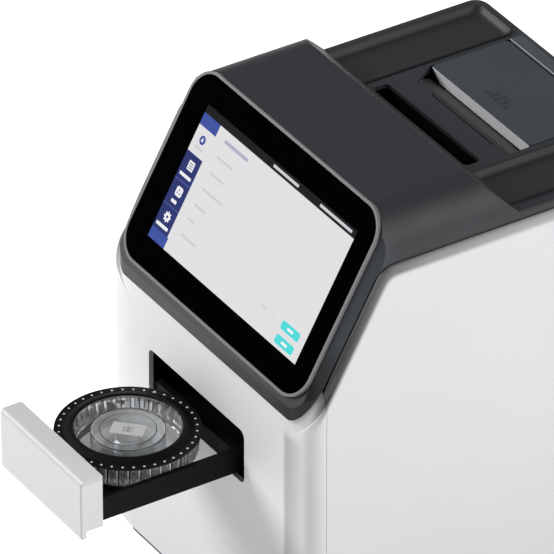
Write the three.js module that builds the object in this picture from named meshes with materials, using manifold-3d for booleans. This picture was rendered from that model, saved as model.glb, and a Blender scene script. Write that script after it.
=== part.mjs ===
// Benchtop chemistry analyzer with a pull-out rotor drawer and a built-in receipt printer.
// Millimetres, +Z up, the front faces -Y. The model stands on z = 0, centred on its own outline.
import * as THREE from "three";
import { mergeVertices } from "three/addons/utils/BufferGeometryUtils.js";
import Module from "manifold-3d";

const wasm = await Module();
wasm.setup();

// Driving dimensions of the housing
const gap = 0.3;
const overrun = 5;
const body_width = 212;
const body_depth = 250;
const wall = 3;
const side_wall = 3.3;
const front_corner_r = 12;
const corner_lead = 19;
const corner_lead_rise = 2.8;
const corner_lead_r = 100;
const corner_tight_r = 10;
const rear_corner_r = 10;
const edge_round = 4;
const seam_y = 12.3;
const foot_height = 6;
const foot_r = 9;
const foot_inset = 22;
const plinth_height = 14;
const plinth_inset = 7.5;
const plinth_corner_r = 6;
const plinth_edge_r = 4;
const base_wall = 2.5;
const body_bottom = foot_height + plinth_height;

// Screen and hood
const screen_tilt = 61;
const screen_y = 30;
const screen_z = 256;
const glass_width = 187.4;
const glass_height = 116.6;
const glass_rise = 0.2;
const glass_corner_r = 16;
const glass_thickness = 1.8;
const glass_proud = 1.75;
const rim_width = 2;
const rim_proud = 1.95;
const bezel_depth = 4;
const bezel_ledge = 7;
const hood_front_proud = 1;
const hood_joint_depth = 4.4;
const hood_top = 309.5;
const hood_side_r = 26.5;
const hood_shoulder_x = 5.9;
const hood_corner_r = 17;
const collar_bottom = 182;
const collar_inner_r = 24;
const blend_reach = 26.4;
const blend_rear_y = 20;
const blend_front_depth = 12;
const blend_steps = 8;
const hood_fold_r = 4;
const hood_top_fold_r = 0.6;
const hood_rear_y = 118.7;
const hood_rear_slope = 45;
const hood_rear_r = 2;

// Deck behind the hood
const joint_top = 282.6;
const joint_round = 13;
const crest_top = 287;
const crest_outer_x = 98.7;
const crest_inner_x = 92.4;
const plateau_top = 288.5;
const plateau_half = 54;
const plateau_rear_y = 246;
const deck_tray_depth = 4;
const deck_tray_rear_y = 242;
const deck_tray_slope = 1.6;
const deck_tray_corner_r = 5;
const deck_wall = 2.6;
const grip_half = 48;
const grip_front_y = 140.4;
const grip_rear_y = 151;
const grip_corner_r = 3.5;
const grip_depth = 16;
const grip_cup_wall = 1.5;

// Receipt printer
const printer_half = 50.1;
const printer_front_y = 166.2;
const recess_left_x = -40;
const recess_corner_r = 5;
const printer_rear_y = 243.7;
const apron_rear_y = 181.2;
const apron_drop = 7.6;
const apron_thickness = 2.4;
const slit_left_x = -24.5;
const slit_right_x = 37.5;
const slit_width = 1.1;
const lid_front_y = 182;
const lid_rear_y = 233.2;
const lid_top = 288.8;
const lid_thickness = 3;
const lid_lip_height = 7.9;
const lid_lip_thickness = 2.3;
const lid_corner_r = 2.5;
const lid_pivot_y = 231.5;
const lid_pivot_z = 286;
const lid_knuckle_r = 2.3;
const lid_knuckle_length = 12;
const lid_knuckle_x = 30;
const lid_ear_r = 1.9;
const lid_skin = 0.6;
const pin_r = 0.9;
const pin_clearance = 0.2;
const strip_front_y = 235;
const strip_thickness = 3.6;
const bucket_half = 31.4;
const bucket_front_y = 186.4;
const bucket_rear_y = 230.6;
const bucket_bottom = 234.7;
const bucket_wall = 2;
const paper_r = 21;
const paper_core_r = 6.2;
const paper_half = 28.5;
const paper_z = 256;
const platen_y = 189.5;
const platen_z = 279;
const platen_r = 4.5;
const platen_half = 28;
const platen_axle_r = 1.5;
const platen_arm_thickness = 2.4;
const head_thickness = 3.2;
const head_height = 6;

// Drawer opening and drawer
const drawer_centre_x = -11;
const slot_width = 101.5;
const slot_bottom = 120.2;
const slot_height = 35.2;
const slot_corner_r = 4.5;
const slot_frame_depth = 6;
const slot_frame_rim = 4;
const drawer_travel = 98.6;
const drawer_front_width = 87.2;
const drawer_front_height = 34;
const drawer_front_depth = 14.2;
const drawer_plate_depth = 3.5;
const drawer_lip_height = 4.6;
const drawer_front_clearance = 0.6;
const drawer_edge_r = 3;
const tray_width = 86.8;
const tray_bottom = 124.5;
const tray_height = 15;
const tray_floor = 3.5;
const tray_wall = 3.2;
const tray_rear_y = 45;
const tray_well_rear_y = -2;
const tray_well_wall = 4.2;
const rail_length = 140;
const rail_start_y = 12;
const rail_left_start_y = 27.5;
const rail_web = 3;
const rail_lip = 6;
const rail_lip_thickness = 3;
const rail_top_lip = 1.6;

// Rack and pinion
const gear_module = 0.8;
const pinion_teeth = 14;
const gear_thickness = 3;
const gear_bottom = 121;
const rack_inset = 8;
const gear_play = 0.2;
const rack_back = 1.5;
const pinion_y = 19;
const pinion_shaft_r = 2;
const motor_side = 28;
const motor_height = 30;
const motor_corner = 4;

// Rotor
const rotor_y = -44.9;
const rotor_r = 41.6;
const rotor_top = 146.5;
const ring_thickness = 2.6;
const ring_inner_r = 30.5;
const cuvette_count = 40;
const cuvette_outer_r = 39.6;
const cuvette_inner_r = 33.2;
const cuvette_bottom = 133.5;
const cuvette_rib = 1.4;
const disc_floor = 1.8;
const disc_cup_r = 21.5;
const disc_cup_mouth_r = 15.1;
const disc_cup_top = 145;
const disc_wall = 1.2;
const disc_hole_r = 9;
const hub_r = 8;
const hub_top = 139.4;
const hub_flange_r = 12;
const spindle_motor_r = 15;
const spindle_motor_height = 3.4;

// Inside of the housing
const chassis_thickness = 2;
const chassis_side_x = 101.4;
const deck_plate_z = 112;
const deck_plate_thickness = 2;
const deck_plate_rear_y = 200;
const incubator_half = 63;
const incubator_front_y = 30;
const incubator_rear_y = 118;
const incubator_top = 153;
const incubator_wall = 3;
const lamp_r = 11;
const lamp_height = 34;
const lamp_offset_y = 34;
const detector_side = 30;
const detector_height = 18;
const board_thickness = 1.6;
const board_standoff = 5;
const standoff_r = 3;
const supply_height = 38;
const lcd_width = 161;
const lcd_height = 96.5;
const lcd_thickness = 4.4;

// Rear panel and what it carries
const rear_panel_thickness = 2;
const fan_side = 80;
const fan_depth = 25;
const fan_bore_r = 37.5;
const fan_z = 176;
const fan_hub_r = 15;
const fan_blades = 7;
const fan_blade_clearance = 1.5;
const fan_blade_thickness = 1.6;
const fan_strut = 4;
const fan_corner_r = 5;
const fan_floor = 3;
const grille_rings = 5;
const grille_wire = 1.6;
const grille_hub_r = 6;
const socket_z = 60;
const inlet_x = -62;
const inlet_width = 27.5;
const inlet_height = 20;
const inlet_flange = 5;
const inlet_depth = 22;
const inlet_cavity_depth = 16;
const inlet_wall = 2.4;
const blade_width = 2;
const blade_height = 4;
const blade_spacing = 7;
const switch_z = 90;
const switch_width = 13.4;
const switch_height = 19.4;
const switch_depth = 18;
const switch_wall = 1.6;
const rocker_r = 9;
const rocker_dip = 1;
const rocker_tilt = 8;
const usb_x = 38;
const usb_width = 14.5;
const usb_height = 7.6;
const lan_x = 64;
const lan_width = 16;
const lan_height = 14;
const port_depth = 16;
const port_wall = 1.2;

// Facet counts
const arc_steps = 6;
const round_steps = 32;
const large_round_steps = 64;

const colours = {
  white: [0xdedfe0, 0.45, 0],
  dark: [0x333436, 0.5, 0],
  rim: [0x7c7d7f, 0.4, 0.1],
  glass: [0x020203, 0.08, 0],
  black: [0x0d0d0f, 0.45, 0],
  clear: [0xd8dcde, 0.1, 0],
  lid: [0x3d4145, 0.3, 0],
  rubber: [0x1a1a1a, 0.9, 0],
  steel: [0xa9acb0, 0.35, 0.9],
  board: [0x1f5a3a, 0.6, 0],
  paper: [0xf2f0ea, 0.9, 0],
  hub: [0xc9ccd0, 0.3, 0.9],
};

const materials = {};
for (const [name, [color, roughness, metalness]] of Object.entries(colours)) {
  materials[name] = new THREE.MeshStandardMaterial({ name, color, roughness, metalness });
}

const front_y = -(drawer_travel + drawer_plate_depth + gap);
const rear_y = body_depth + grille_wire + gap;
const analyzer = new THREE.Group();
analyzer.position.y = -(front_y + rear_y) / 2;

// Turns a closed three.js geometry into a solid.
function solid(geometry) {
  const bare = geometry.clone();
  bare.deleteAttribute("normal");
  bare.deleteAttribute("uv");
  const merged = mergeVertices(bare, 1e-4);
  const triangles = [];
  for (let i = 0; i < merged.index.count; i += 3) {
    const [a, b, c] = merged.index.array.slice(i, i + 3);
    if (a !== b && b !== c && c !== a) triangles.push(a, b, c);
  }
  return new wasm.Manifold(
    new wasm.Mesh({
      numProp: 3,
      vertProperties: merged.attributes.position.array,
      triVerts: new Uint32Array(triangles),
    }),
  );
}

// Turns a solid back into a geometry for a mesh.
function geometryOf(shape) {
  const { vertProperties, triVerts } = shape.getMesh();
  const geometry = new THREE.BufferGeometry();
  geometry.setAttribute("position", new THREE.BufferAttribute(vertProperties, 3));
  geometry.setIndex(new THREE.BufferAttribute(triVerts, 1));
  geometry.computeVertexNormals();
  return geometry;
}

function add(name, shape, material) {
  const mesh = new THREE.Mesh(geometryOf(shape), materials[material]);
  mesh.name = name;
  analyzer.add(mesh);
}

const joined = (shapes) => shapes.reduce((sum, shape) => sum.add(shape));
const cut = (shape, tools) => tools.reduce((rest, tool) => rest.subtract(tool), shape);
const common = (shapes) => shapes.reduce((rest, shape) => rest.intersect(shape));

function box(x0, x1, y0, y1, z0, z1) {
  const geometry = new THREE.BoxGeometry(x1 - x0, y1 - y0, z1 - z0);
  geometry.translate((x0 + x1) / 2, (y0 + y1) / 2, (z0 + z1) / 2);
  return solid(geometry);
}

// An outline whose corners [u, v, radius] are rounded by true arcs.
function outline(corners) {
  const shape = new THREE.Shape();
  const count = corners.length;
  corners.forEach(([u, v, radius = 0], i) => {
    const here = new THREE.Vector2(u, v);
    const before = new THREE.Vector2(...corners[(i + count - 1) % count]).sub(here).normalize();
    const after = new THREE.Vector2(...corners[(i + 1) % count]).sub(here).normalize();
    const half = Math.acos(THREE.MathUtils.clamp(before.dot(after), -1, 1)) / 2;
    if (radius === 0) {
      if (i === 0) shape.moveTo(u, v);
      else shape.lineTo(u, v);
      return;
    }
    const reach = radius / Math.tan(half);
    const start = here.clone().addScaledVector(before, reach);
    const end = here.clone().addScaledVector(after, reach);
    const middle = before.clone().add(after).normalize();
    const centre = here.clone().addScaledVector(middle, radius / Math.sin(half));
    if (i === 0) shape.moveTo(start.x, start.y);
    else shape.lineTo(start.x, start.y);
    const from = start.clone().sub(centre).angle();
    const to = end.clone().sub(centre).angle();
    shape.absarc(centre.x, centre.y, radius, from, to, before.cross(after) > 0);
  });
  shape.closePath();
  return shape;
}

function rectangle(u0, u1, v0, v1, radius = 0) {
  return outline([
    [u0, v0, radius],
    [u1, v0, radius],
    [u1, v1, radius],
    [u0, v1, radius],
  ]);
}

const axis_x = new THREE.Vector3(1, 0, 0);
const axis_y = new THREE.Vector3(0, 1, 0);
const axis_z = new THREE.Vector3(0, 0, 1);

// Extrudes an outline; u, v and w are the directions of its width, height and depth.
function prism(shape, u, v, origin, depth, bevel = {}, steps = arc_steps) {
  const { size = 0, thickness = 0, segments = 4 } = bevel;
  const geometry = new THREE.ExtrudeGeometry(shape, {
    depth: depth - 2 * thickness,
    bevelEnabled: size > 0,
    bevelSize: size,
    bevelOffset: -size,
    bevelThickness: thickness,
    bevelSegments: segments,
    curveSegments: steps,
  });
  geometry.translate(0, 0, thickness);
  const w = new THREE.Vector3().crossVectors(u, v);
  geometry.applyMatrix4(new THREE.Matrix4().makeBasis(u, v, w).setPosition(origin));
  return solid(geometry);
}

// Outlines in the Y-Z, X-Z and X-Y planes.
function alongX(shape, x0, x1, bevel, steps) {
  return prism(shape, axis_y, axis_z, new THREE.Vector3(x0, 0, 0), x1 - x0, bevel, steps);
}

function alongY(shape, y0, y1, bevel, steps) {
  return prism(shape, axis_x, axis_z, new THREE.Vector3(0, y1, 0), y1 - y0, bevel, steps);
}

function alongZ(shape, z0, z1, bevel, steps) {
  return prism(shape, axis_x, axis_y, new THREE.Vector3(0, 0, z0), z1 - z0, bevel, steps);
}

function cylinder(direction, radius, centre, length, steps = round_steps) {
  const geometry = new THREE.CylinderGeometry(radius, radius, length, steps);
  const turn = new THREE.Quaternion().setFromUnitVectors(axis_y, direction);
  geometry.applyQuaternion(turn);
  geometry.translate(...centre);
  return solid(geometry);
}

// A profile of [radius, height] points turned about a vertical axis.
function turned(profile, x, y, steps = large_round_steps) {
  const points = profile.map(([radius, height]) => new THREE.Vector2(radius, height));
  const geometry = new THREE.LatheGeometry([...points, points[0]], steps);
  geometry.rotateX(Math.PI / 2);
  geometry.translate(x, y, 0);
  return solid(geometry);
}

// The tilted plane of the screen
const tilt = THREE.MathUtils.degToRad(screen_tilt);
const screen_up = new THREE.Vector3(0, Math.cos(tilt), Math.sin(tilt));
const screen_out = new THREE.Vector3(0, -Math.sin(tilt), Math.cos(tilt));
const screen_centre = new THREE.Vector3(0, screen_y, screen_z);

function screenPoint(along, out) {
  const point = screen_centre.clone().addScaledVector(screen_up, along);
  return point.addScaledVector(screen_out, out);
}

// Height where the plane at a given distance out of the screen crosses a given y.
function slopeHeight(y, out) {
  const along = (y - screen_y + out * Math.sin(tilt)) / Math.cos(tilt);
  return screenPoint(along, out).z;
}

function slopeY(z, out) {
  const along = (z - screen_z - out * Math.cos(tilt)) / Math.sin(tilt);
  return screenPoint(along, out).y;
}

// A prism that stands on the screen plane, from one height out of it to another.
function onScreen(shape, from, to, bevel, steps = arc_steps) {
  return prism(shape, axis_x, screen_up, screenPoint(0, from), to - from, bevel, steps);
}

const half_width = body_width / 2;
const inner_half = half_width - side_wall;
const cover_half = inner_half - gap;

// Side profile below the joint between the white body and the dark cover
function bodyProfile(front, back, bottom, out, top, rear_radius = 0) {
  return outline([
    [front, bottom],
    [back, bottom],
    [back, top, rear_radius],
    [slopeY(top, out), top, joint_round],
    [front, slopeHeight(front, out)],
  ]);
}

function planOutline(half, front, back, front_radius, rear_radius) {
  return outline([
    [-half, front, front_radius],
    [half, front, front_radius],
    [half, back, rear_radius],
    [-half, back, rear_radius],
  ]);
}

function whiteBody() {
  const profile = bodyProfile(
    -overrun, body_depth, body_bottom - 2 * edge_round, -hood_joint_depth, joint_top, 1.5 * edge_round,
  );
  const bevel = { size: edge_round, thickness: side_wall };
  const tight_x = half_width - corner_lead;
  const plan = outline([
    [-half_width, body_depth, rear_corner_r],
    [-half_width, corner_lead_rise, corner_tight_r],
    [-tight_x, 0, corner_lead_r],
    [tight_x, 0, corner_lead_r],
    [half_width, corner_lead_rise, corner_tight_r],
    [half_width, body_depth, rear_corner_r],
  ]);
  const block = common([
    alongX(profile, -half_width, half_width, bevel),
    alongZ(plan, body_bottom + gap, joint_top + overrun),
  ]);
  return cut(block, [cornerBlend(-1), cornerBlend(1)]);
}

// Blends the front corners into the edge under the cover, from a fold on the shell to the joint.
function cornerBlend(side) {
  const on_slope = (x, y, depth) => new THREE.Vector3(side * x, y, slopeHeight(y, -depth));
  const start_x = half_width - blend_reach;
  const deep = hood_joint_depth + edge_round;
  const rows = [
    [0, blend_front_depth, (blend_front_depth + hood_joint_depth) / 2 - gap * 3, 0.3, deep],
    [0.3, (blend_front_depth + hood_joint_depth) / 2, hood_joint_depth + 1.2 * 1.2, 0.4, deep - edge_round * 0.707],
    [1, hood_joint_depth, hood_joint_depth, 0.5, hood_joint_depth],
  ].map(([inset, front_depth, lead_depth, lead_share, side_depth]) => {
    const side_x = half_width - inset * side_wall;
    return new THREE.CubicBezierCurve3(
      on_slope(start_x, 0, front_depth),
      on_slope(side_x - lead_share * blend_reach, 0, lead_depth),
      on_slope(side_x, blend_rear_y * 0.3, side_depth),
      on_slope(side_x, blend_rear_y, side_depth),
    ).getPoints(blend_steps);
  });
  const outward = new THREE.Vector3(side, -1, 0).multiplyScalar(2 * blend_reach);
  const pieces = [];
  for (let row = 0; row + 1 < rows.length; row += 1) {
    for (let i = 0; i < blend_steps; i += 1) {
      const quad = [rows[row][i], rows[row][i + 1], rows[row + 1][i], rows[row + 1][i + 1]];
      const far = quad.map((point) => point.clone().add(outward));
      pieces.push(wasm.Manifold.hull([...quad, ...far].map((point) => point.toArray())));
    }
  }
  return joined(pieces);
}

function slotOutline(clearance) {
  const half = slot_width / 2 - clearance;
  return rectangle(
    drawer_centre_x - half, drawer_centre_x + half,
    slot_bottom + clearance, slot_bottom + slot_height - clearance, slot_corner_r - clearance,
  );
}

function makeFrontShell(body) {
  const inside = joined([
    alongZ(planOutline(inner_half, wall, 2 * body_depth, front_corner_r - wall, 0), 0, collar_bottom),
    alongZ(
      planOutline(inner_half, wall, 2 * body_depth, collar_inner_r, 0),
      collar_bottom - gap, hood_top,
    ),
  ]);
  const front = common([
    body,
    box(-body_width, body_width, -overrun, seam_y - gap / 2, 0, hood_top),
  ]);
  add("front_shell", cut(front, [inside, alongY(slotOutline(0), -overrun, 2 * wall)]), "white");
}

function makeSidePanel(name, body, side) {
  const near = side * inner_half;
  const far = side * (half_width + overrun);
  const region = box(
    Math.min(near, far), Math.max(near, far), seam_y + gap / 2, body_depth + overrun, 0, hood_top,
  );
  add(name, common([body, region]), "white");
}

// The hood round the screen, or the room inside it when inset is a wall thickness.
function hood(inset) {
  const front = -hood_front_proud + inset;
  const top = hood_top - inset;
  const slope = THREE.MathUtils.degToRad(hood_rear_slope);
  const rear = hood_rear_y - inset * Math.tan(slope / 2);
  const foot = body_bottom;
  const side = outline([
    [front, foot],
    [rear + (top - foot) / Math.tan(slope), foot],
    [rear, top, inset > 0 ? 0 : hood_rear_r],
    [slopeY(top, -inset), top, inset > 0 ? 0 : hood_top_fold_r],
    [front, slopeHeight(front, -inset), inset > 0 ? 0 : hood_fold_r],
  ]);
  const half = cover_half - inset;
  const round = hood_side_r - inset;
  const section = outline([
    [-half, foot],
    [half, foot],
    [half, joint_top - inset + round, round],
    [-half, joint_top - inset + round, round],
  ]);
  const shoulder = half - hood_shoulder_x;
  const face = outline([
    [-half, -body_depth],
    [half, -body_depth],
    [half, -hood_joint_depth - inset],
    [shoulder, -inset],
    [-shoulder, -inset],
    [-half, -hood_joint_depth - inset],
  ]);
  const plan = planOutline(half, front, body_depth, hood_corner_r - inset, 0);
  const along_screen = prism(
    face, axis_x, screen_out, screenPoint(body_depth, 0), 2 * body_depth, {}, arc_steps,
  );
  return common([
    alongX(side, -half, half),
    alongY(section, -overrun, body_depth + hood_top, {}, 2 * arc_steps),
    along_screen,
    alongZ(plan, foot, hood_top + overrun),
  ]);
}

function deckTray(side) {
  const u0 = plateau_half + deck_tray_slope;
  const shape = rectangle(
    Math.min(side * u0, side * crest_inner_x), Math.max(side * u0, side * crest_inner_x),
    hood_rear_y, deck_tray_rear_y, deck_tray_corner_r,
  );
  const floor = plateau_top - deck_tray_depth;
  const bevel = { size: deck_tray_slope, thickness: deck_tray_slope, segments: 3 };
  return alongZ(shape, floor, plateau_top + 2 * overrun, bevel, 4);
}

function deck() {
  const plan = planOutline(cover_half, hood_rear_y - overrun, body_depth - gap, 0, rear_corner_r);
  const rim = { size: cover_half - crest_outer_x, thickness: crest_top - joint_top, segments: 4 };
  const slab = common([
    alongZ(plan, joint_top - (crest_top - joint_top), crest_top, rim, 4),
    box(-half_width, half_width, hood_rear_y - overrun, body_depth, joint_top - wall, hood_top),
  ]);
  const plateau = alongZ(
    rectangle(-plateau_half, plateau_half, hood_rear_y, plateau_rear_y),
    joint_top - wall, plateau_top, { size: plateau_top - crest_top, thickness: plateau_top - crest_top, segments: 2 },
  );
  return cut(joined([slab, plateau]), [deckTray(-1), deckTray(1)]);
}

function makeTopCover() {
  const outer = joined([hood(0), deck()]);
  const room = joined([
    hood(wall),
    box(
      -(cover_half - wall), cover_half - wall, hood_rear_y, body_depth - wall,
      body_bottom, plateau_top - deck_tray_depth - deck_wall,
    ),
    box(
      -(plateau_half - wall), plateau_half - wall, hood_rear_y, plateau_rear_y - wall,
      body_bottom, plateau_top - deck_wall,
    ),
  ]);
  const below = alongX(
    bodyProfile(-2 * overrun, 2 * body_depth, 0, gap - hood_joint_depth, joint_top + gap),
    -body_width, body_width,
  );
  const screen = onScreen(bezelOutline(gap), -body_depth / 2, overrun);
  const grip = alongZ(
    rectangle(-grip_half, grip_half, grip_front_y, grip_rear_y, grip_corner_r),
    joint_top - overrun, hood_top,
  );
  const printer = alongZ(printerOutline(gap), joint_top - overrun, hood_top);
  const slit = alongZ(
    rectangle(slit_left_x, slit_right_x, printer_front_y - slit_width, printer_front_y, slit_width / 3),
    joint_top - overrun, hood_top, {}, 2,
  );
  add("top_cover", cut(outer, [room, below, screen, grip, printer, slit]), "dark");
}

// The printer's opening; its finger recess narrows towards the front on the left.
function printerOutline(clearance) {
  const half = printer_half + clearance;
  return outline([
    [recess_left_x - clearance, printer_front_y - clearance, recess_corner_r],
    [half, printer_front_y - clearance],
    [half, printer_rear_y + clearance],
    [-half, printer_rear_y + clearance],
    [-half, apron_rear_y],
  ]);
}

function bezelOutline(clearance) {
  const u = glass_width / 2 + rim_width + clearance;
  const v = glass_height / 2 + rim_width + clearance;
  return rectangle(-u, u, glass_rise - v, glass_rise + v, glass_corner_r + rim_width + clearance);
}

function glassOutline(clearance) {
  const u = glass_width / 2 + clearance;
  const v = glass_height / 2 + clearance;
  return rectangle(-u, u, glass_rise - v, glass_rise + v, glass_corner_r + clearance);
}

function makeScreen() {
  const frame = onScreen(bezelOutline(0), -bezel_depth, rim_proud);
  const seat = onScreen(glassOutline(gap), glass_proud - glass_thickness - gap, overrun);
  const window_u = glass_width / 2 - bezel_ledge;
  const window_v = glass_height / 2 - bezel_ledge;
  const opening = onScreen(
    rectangle(-window_u, window_u, -window_v, window_v, glass_corner_r - bezel_ledge),
    -2 * bezel_depth, overrun,
  );
  add("screen_bezel", cut(frame, [seat, opening]), "rim");
  const glass_in = glass_proud - glass_thickness;
  add("screen_glass", onScreen(glassOutline(0), glass_in, glass_proud), "glass");
  const lcd_out = glass_in - gap;
  const lcd = rectangle(-lcd_width / 2, lcd_width / 2, -lcd_height / 2, lcd_height / 2);
  const posts = [-1, 1].flatMap((i) => [-1, 1].map((j) => {
    const at = screenPoint(j * (lcd_height / 2 - 2 * standoff_r), lcd_out - lcd_thickness - board_standoff / 2);
    return cylinder(screen_out, standoff_r, [i * (lcd_width / 4), at.y, at.z], board_standoff + gap);
  }));
  const panel = onScreen(lcd, lcd_out - lcd_thickness, lcd_out);
  add("display_module", joined([panel, ...posts]), "steel");
  const board_out = lcd_out - lcd_thickness - board_standoff - 2 * gap;
  const board = rectangle(-lcd_width / 3, lcd_width / 3, -lcd_height / 2, lcd_height / 2);
  add("display_board", onScreen(board, board_out - board_thickness, board_out), "board");
}

function makeBase() {
  const plinth_plan = planOutline(
    half_width - plinth_inset, plinth_inset, body_depth - plinth_inset, plinth_corner_r, plinth_corner_r,
  );
  const bevel = { size: plinth_edge_r, thickness: plinth_edge_r };
  const plinth = common([
    alongZ(plinth_plan, foot_height, body_bottom + 2 * plinth_edge_r, bevel),
    box(-half_width, half_width, 0, body_depth, 0, body_bottom),
  ]);
  const flange_gap = wall + gap;
  const flange = alongZ(
    planOutline(inner_half - gap, flange_gap, body_depth - flange_gap, front_corner_r, wall),
    body_bottom - gap, body_bottom + base_wall,
  );
  const inner_x = half_width - plinth_inset - base_wall - plinth_edge_r / 2;
  const room = box(
    -inner_x, inner_x, plinth_inset + base_wall + plinth_edge_r / 2,
    body_depth - plinth_inset - base_wall - plinth_edge_r / 2,
    foot_height + base_wall, body_bottom + overrun,
  );
  const vents = [];
  const vent_pitch = 4 * base_wall;
  for (let y = body_depth / 3; y < body_depth * 2 / 3; y += vent_pitch) {
    vents.push(box(-half_width / 3, half_width / 3, y, y + base_wall, 0, body_bottom));
  }
  add("base_tray", cut(joined([plinth, flange]), [room, ...vents]), "dark");
  const names = ["front_left", "front_right", "rear_left", "rear_right"];
  names.forEach((name, i) => {
    const x = (i % 2 === 0 ? -1 : 1) * (half_width - plinth_inset - foot_inset);
    const y = i < 2 ? plinth_inset + foot_inset : body_depth - plinth_inset - foot_inset;
    const profile = [
      [0, 0], [foot_r - 1.5 * gap, 0], [foot_r, 4 * gap], [foot_r, foot_height - gap], [0, foot_height - gap],
    ];
    add("foot_" + name, turned(profile, x, y, round_steps), "rubber");
  });
}

function makeChassis() {
  const z0 = body_bottom + base_wall + gap;
  const floor = box(
    -chassis_side_x, chassis_side_x, front_corner_r, body_depth - 2 * wall, z0, z0 + chassis_thickness,
  );
  const profile = bodyProfile(
    hood_corner_r, body_depth - 2 * wall, z0, -hood_joint_depth - 2 * wall, joint_top - 2 * wall,
  );
  const sides = [-1, 1].map((side) => {
    const x0 = side > 0 ? chassis_side_x - chassis_thickness : -chassis_side_x;
    return alongX(profile, x0, x0 + chassis_thickness);
  });
  const windows = [0, 1].map((i) => {
    const y = body_depth * (0.18 + 0.4 * i);
    return alongX(
      rectangle(y, y + body_depth / 4, deck_plate_z / 3, deck_plate_z - 4 * wall, 3 * wall),
      -body_width, body_width,
    );
  });
  add("chassis", cut(joined([floor, ...sides]), windows), "steel");
  const half = chassis_side_x - chassis_thickness - gap;
  const plate = box(
    -half, half, 2 * wall, deck_plate_rear_y, deck_plate_z, deck_plate_z + deck_plate_thickness,
  );
  const shaft_hole = cylinder(
    axis_z, pinion_shaft_r + 2 * gap, [pinionX(), pinion_y, deck_plate_z], 4 * deck_plate_thickness,
  );
  const light_hole = cylinder(
    axis_z, detector_side / 4, [drawer_centre_x + lamp_offset_y, closedY(), deck_plate_z],
    4 * deck_plate_thickness,
  );
  add("drawer_deck", cut(plate, [shaft_hole, light_hole]), "steel");
}

const closedY = () => rotor_y + drawer_travel;
const tray_left = drawer_centre_x - tray_width / 2;
const tray_right = drawer_centre_x + tray_width / 2;
const pitch_r = (gear_module * pinion_teeth) / 2;
const rack_root_x = tray_left + rack_inset;
const rack_pitch_x = rack_root_x - gear_play - gear_module * 1.0;
const pinionX = () => rack_pitch_x - pitch_r;

function makeSlotFrame() {
  const ring = alongY(slotOutline(-slot_frame_rim), wall + gap, wall + gap + slot_frame_depth);
  const hole = alongY(slotOutline(gap / 3), 0, body_depth);
  add("drawer_bezel", ring.subtract(hole), "black");
}

function makeDrawer() {
  const back = front_y + drawer_front_depth;
  const x0 = drawer_centre_x - drawer_front_width / 2;
  const x1 = drawer_centre_x + drawer_front_width / 2;
  const z0 = slot_bottom + drawer_front_clearance;
  const z1 = z0 + drawer_front_height;
  const side = outline([
    [front_y, z0 - drawer_lip_height, drawer_plate_depth / 3],
    [front_y + drawer_plate_depth, z0 - drawer_lip_height, drawer_plate_depth / 3],
    [front_y + drawer_plate_depth, z0],
    [back, z0],
    [back, z1],
    [front_y, z1, drawer_edge_r],
  ]);
  const plan = planOutline(drawer_front_width / 2, front_y, back, drawer_plate_depth / 3, 0);
  const block = common([
    alongX(side, x0, x1),
    alongZ(plan, 0, hood_top).translate([drawer_centre_x, 0, 0]),
  ]);
  add("drawer_front", block, "white");

  const tray_front = back + gap;
  const top = tray_bottom + tray_height;
  const floor = tray_bottom + tray_floor;
  const side_wall_box = box(tray_left, tray_right, tray_front, tray_rear_y, tray_bottom, top);
  const low_side = box(
    tray_left - overrun, tray_left + tray_wall, tray_front - overrun, tray_rear_y + overrun, floor,
    top + overrun,
  );
  const body = side_wall_box.subtract(low_side);
  const well = alongZ(
    rectangle(
      tray_left + tray_wall, tray_right - tray_wall, tray_front + tray_wall, tray_well_rear_y, tray_wall / 2,
    ),
    floor, top + overrun, {}, 2,
  );
  const rear_well = box(
    tray_left + tray_wall, tray_right - tray_wall, tray_well_rear_y + tray_well_wall,
    tray_rear_y - tray_wall, floor, top + overrun,
  );
  add("drawer_tray", cut(body, [well, rear_well]), "black");
  add(
    "spindle_motor",
    cylinder(axis_z, spindle_motor_r, [
      drawer_centre_x, rotor_y, floor + gap + spindle_motor_height / 2,
    ], spindle_motor_height),
    "steel",
  );
}

function makeRails() {
  const z0 = deck_plate_z + deck_plate_thickness + gap;
  const lip_top = tray_bottom - gap;
  const floor = tray_bottom + tray_floor;
  const rails = [
    ["rail_left", -1, tray_left - gap, rail_left_start_y, floor],
    ["rail_right", 1, tray_right + gap, rail_start_y, tray_bottom + tray_height],
  ];
  for (const [name, side, face, start, top] of rails) {
    const end = rail_start_y + rail_length;
    const bar = (reach, low, high) => {
      const inner = face - side * reach;
      const outer = face + side * rail_web;
      return box(Math.min(inner, outer), Math.max(inner, outer), start, end, low, high);
    };
    add(name, joined([
      bar(0, z0, top + gap + rail_top_lip),
      bar(rail_lip, lip_top - rail_lip_thickness, lip_top),
      bar(tray_wall / 2, top + gap, top + gap + rail_top_lip),
    ]), "steel");
  }
}

// Rack teeth and pinion teeth share the module and the pressure angle's flank width.
const pitch = Math.PI * gear_module;
const tip_share = 0.3;
const root_share = 0.2;

function makeRack() {
  const travel_teeth = Math.ceil(drawer_travel / pitch);
  const start = pinion_y - (travel_teeth + 1) * pitch;
  const teeth = travel_teeth + 3;
  const tip = rack_root_x - gear_module * 1.8;
  const corners = [[rack_root_x + rack_back, start - pitch / 2]];
  corners.push([rack_root_x + rack_back, start + teeth * pitch - pitch / 2]);
  corners.push([rack_root_x, start + teeth * pitch - pitch / 2]);
  for (let i = teeth - 1; i >= 0; i -= 1) {
    const y = start + i * pitch;
    const half_root = pitch * (0.5 - root_share);
    const half_tip = (pitch * tip_share) / 2;
    corners.push([rack_root_x, y + half_root]);
    corners.push([tip, y + half_tip]);
    corners.push([tip, y - half_tip]);
    corners.push([rack_root_x, y - half_root]);
  }
  corners.push([rack_root_x, start - pitch / 2]);
  const shape = new THREE.Shape(corners.map(([x, y]) => new THREE.Vector2(x, y)));
  add("drawer_rack", alongZ(shape, gear_bottom, gear_bottom + gear_thickness), "black");
}

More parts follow.
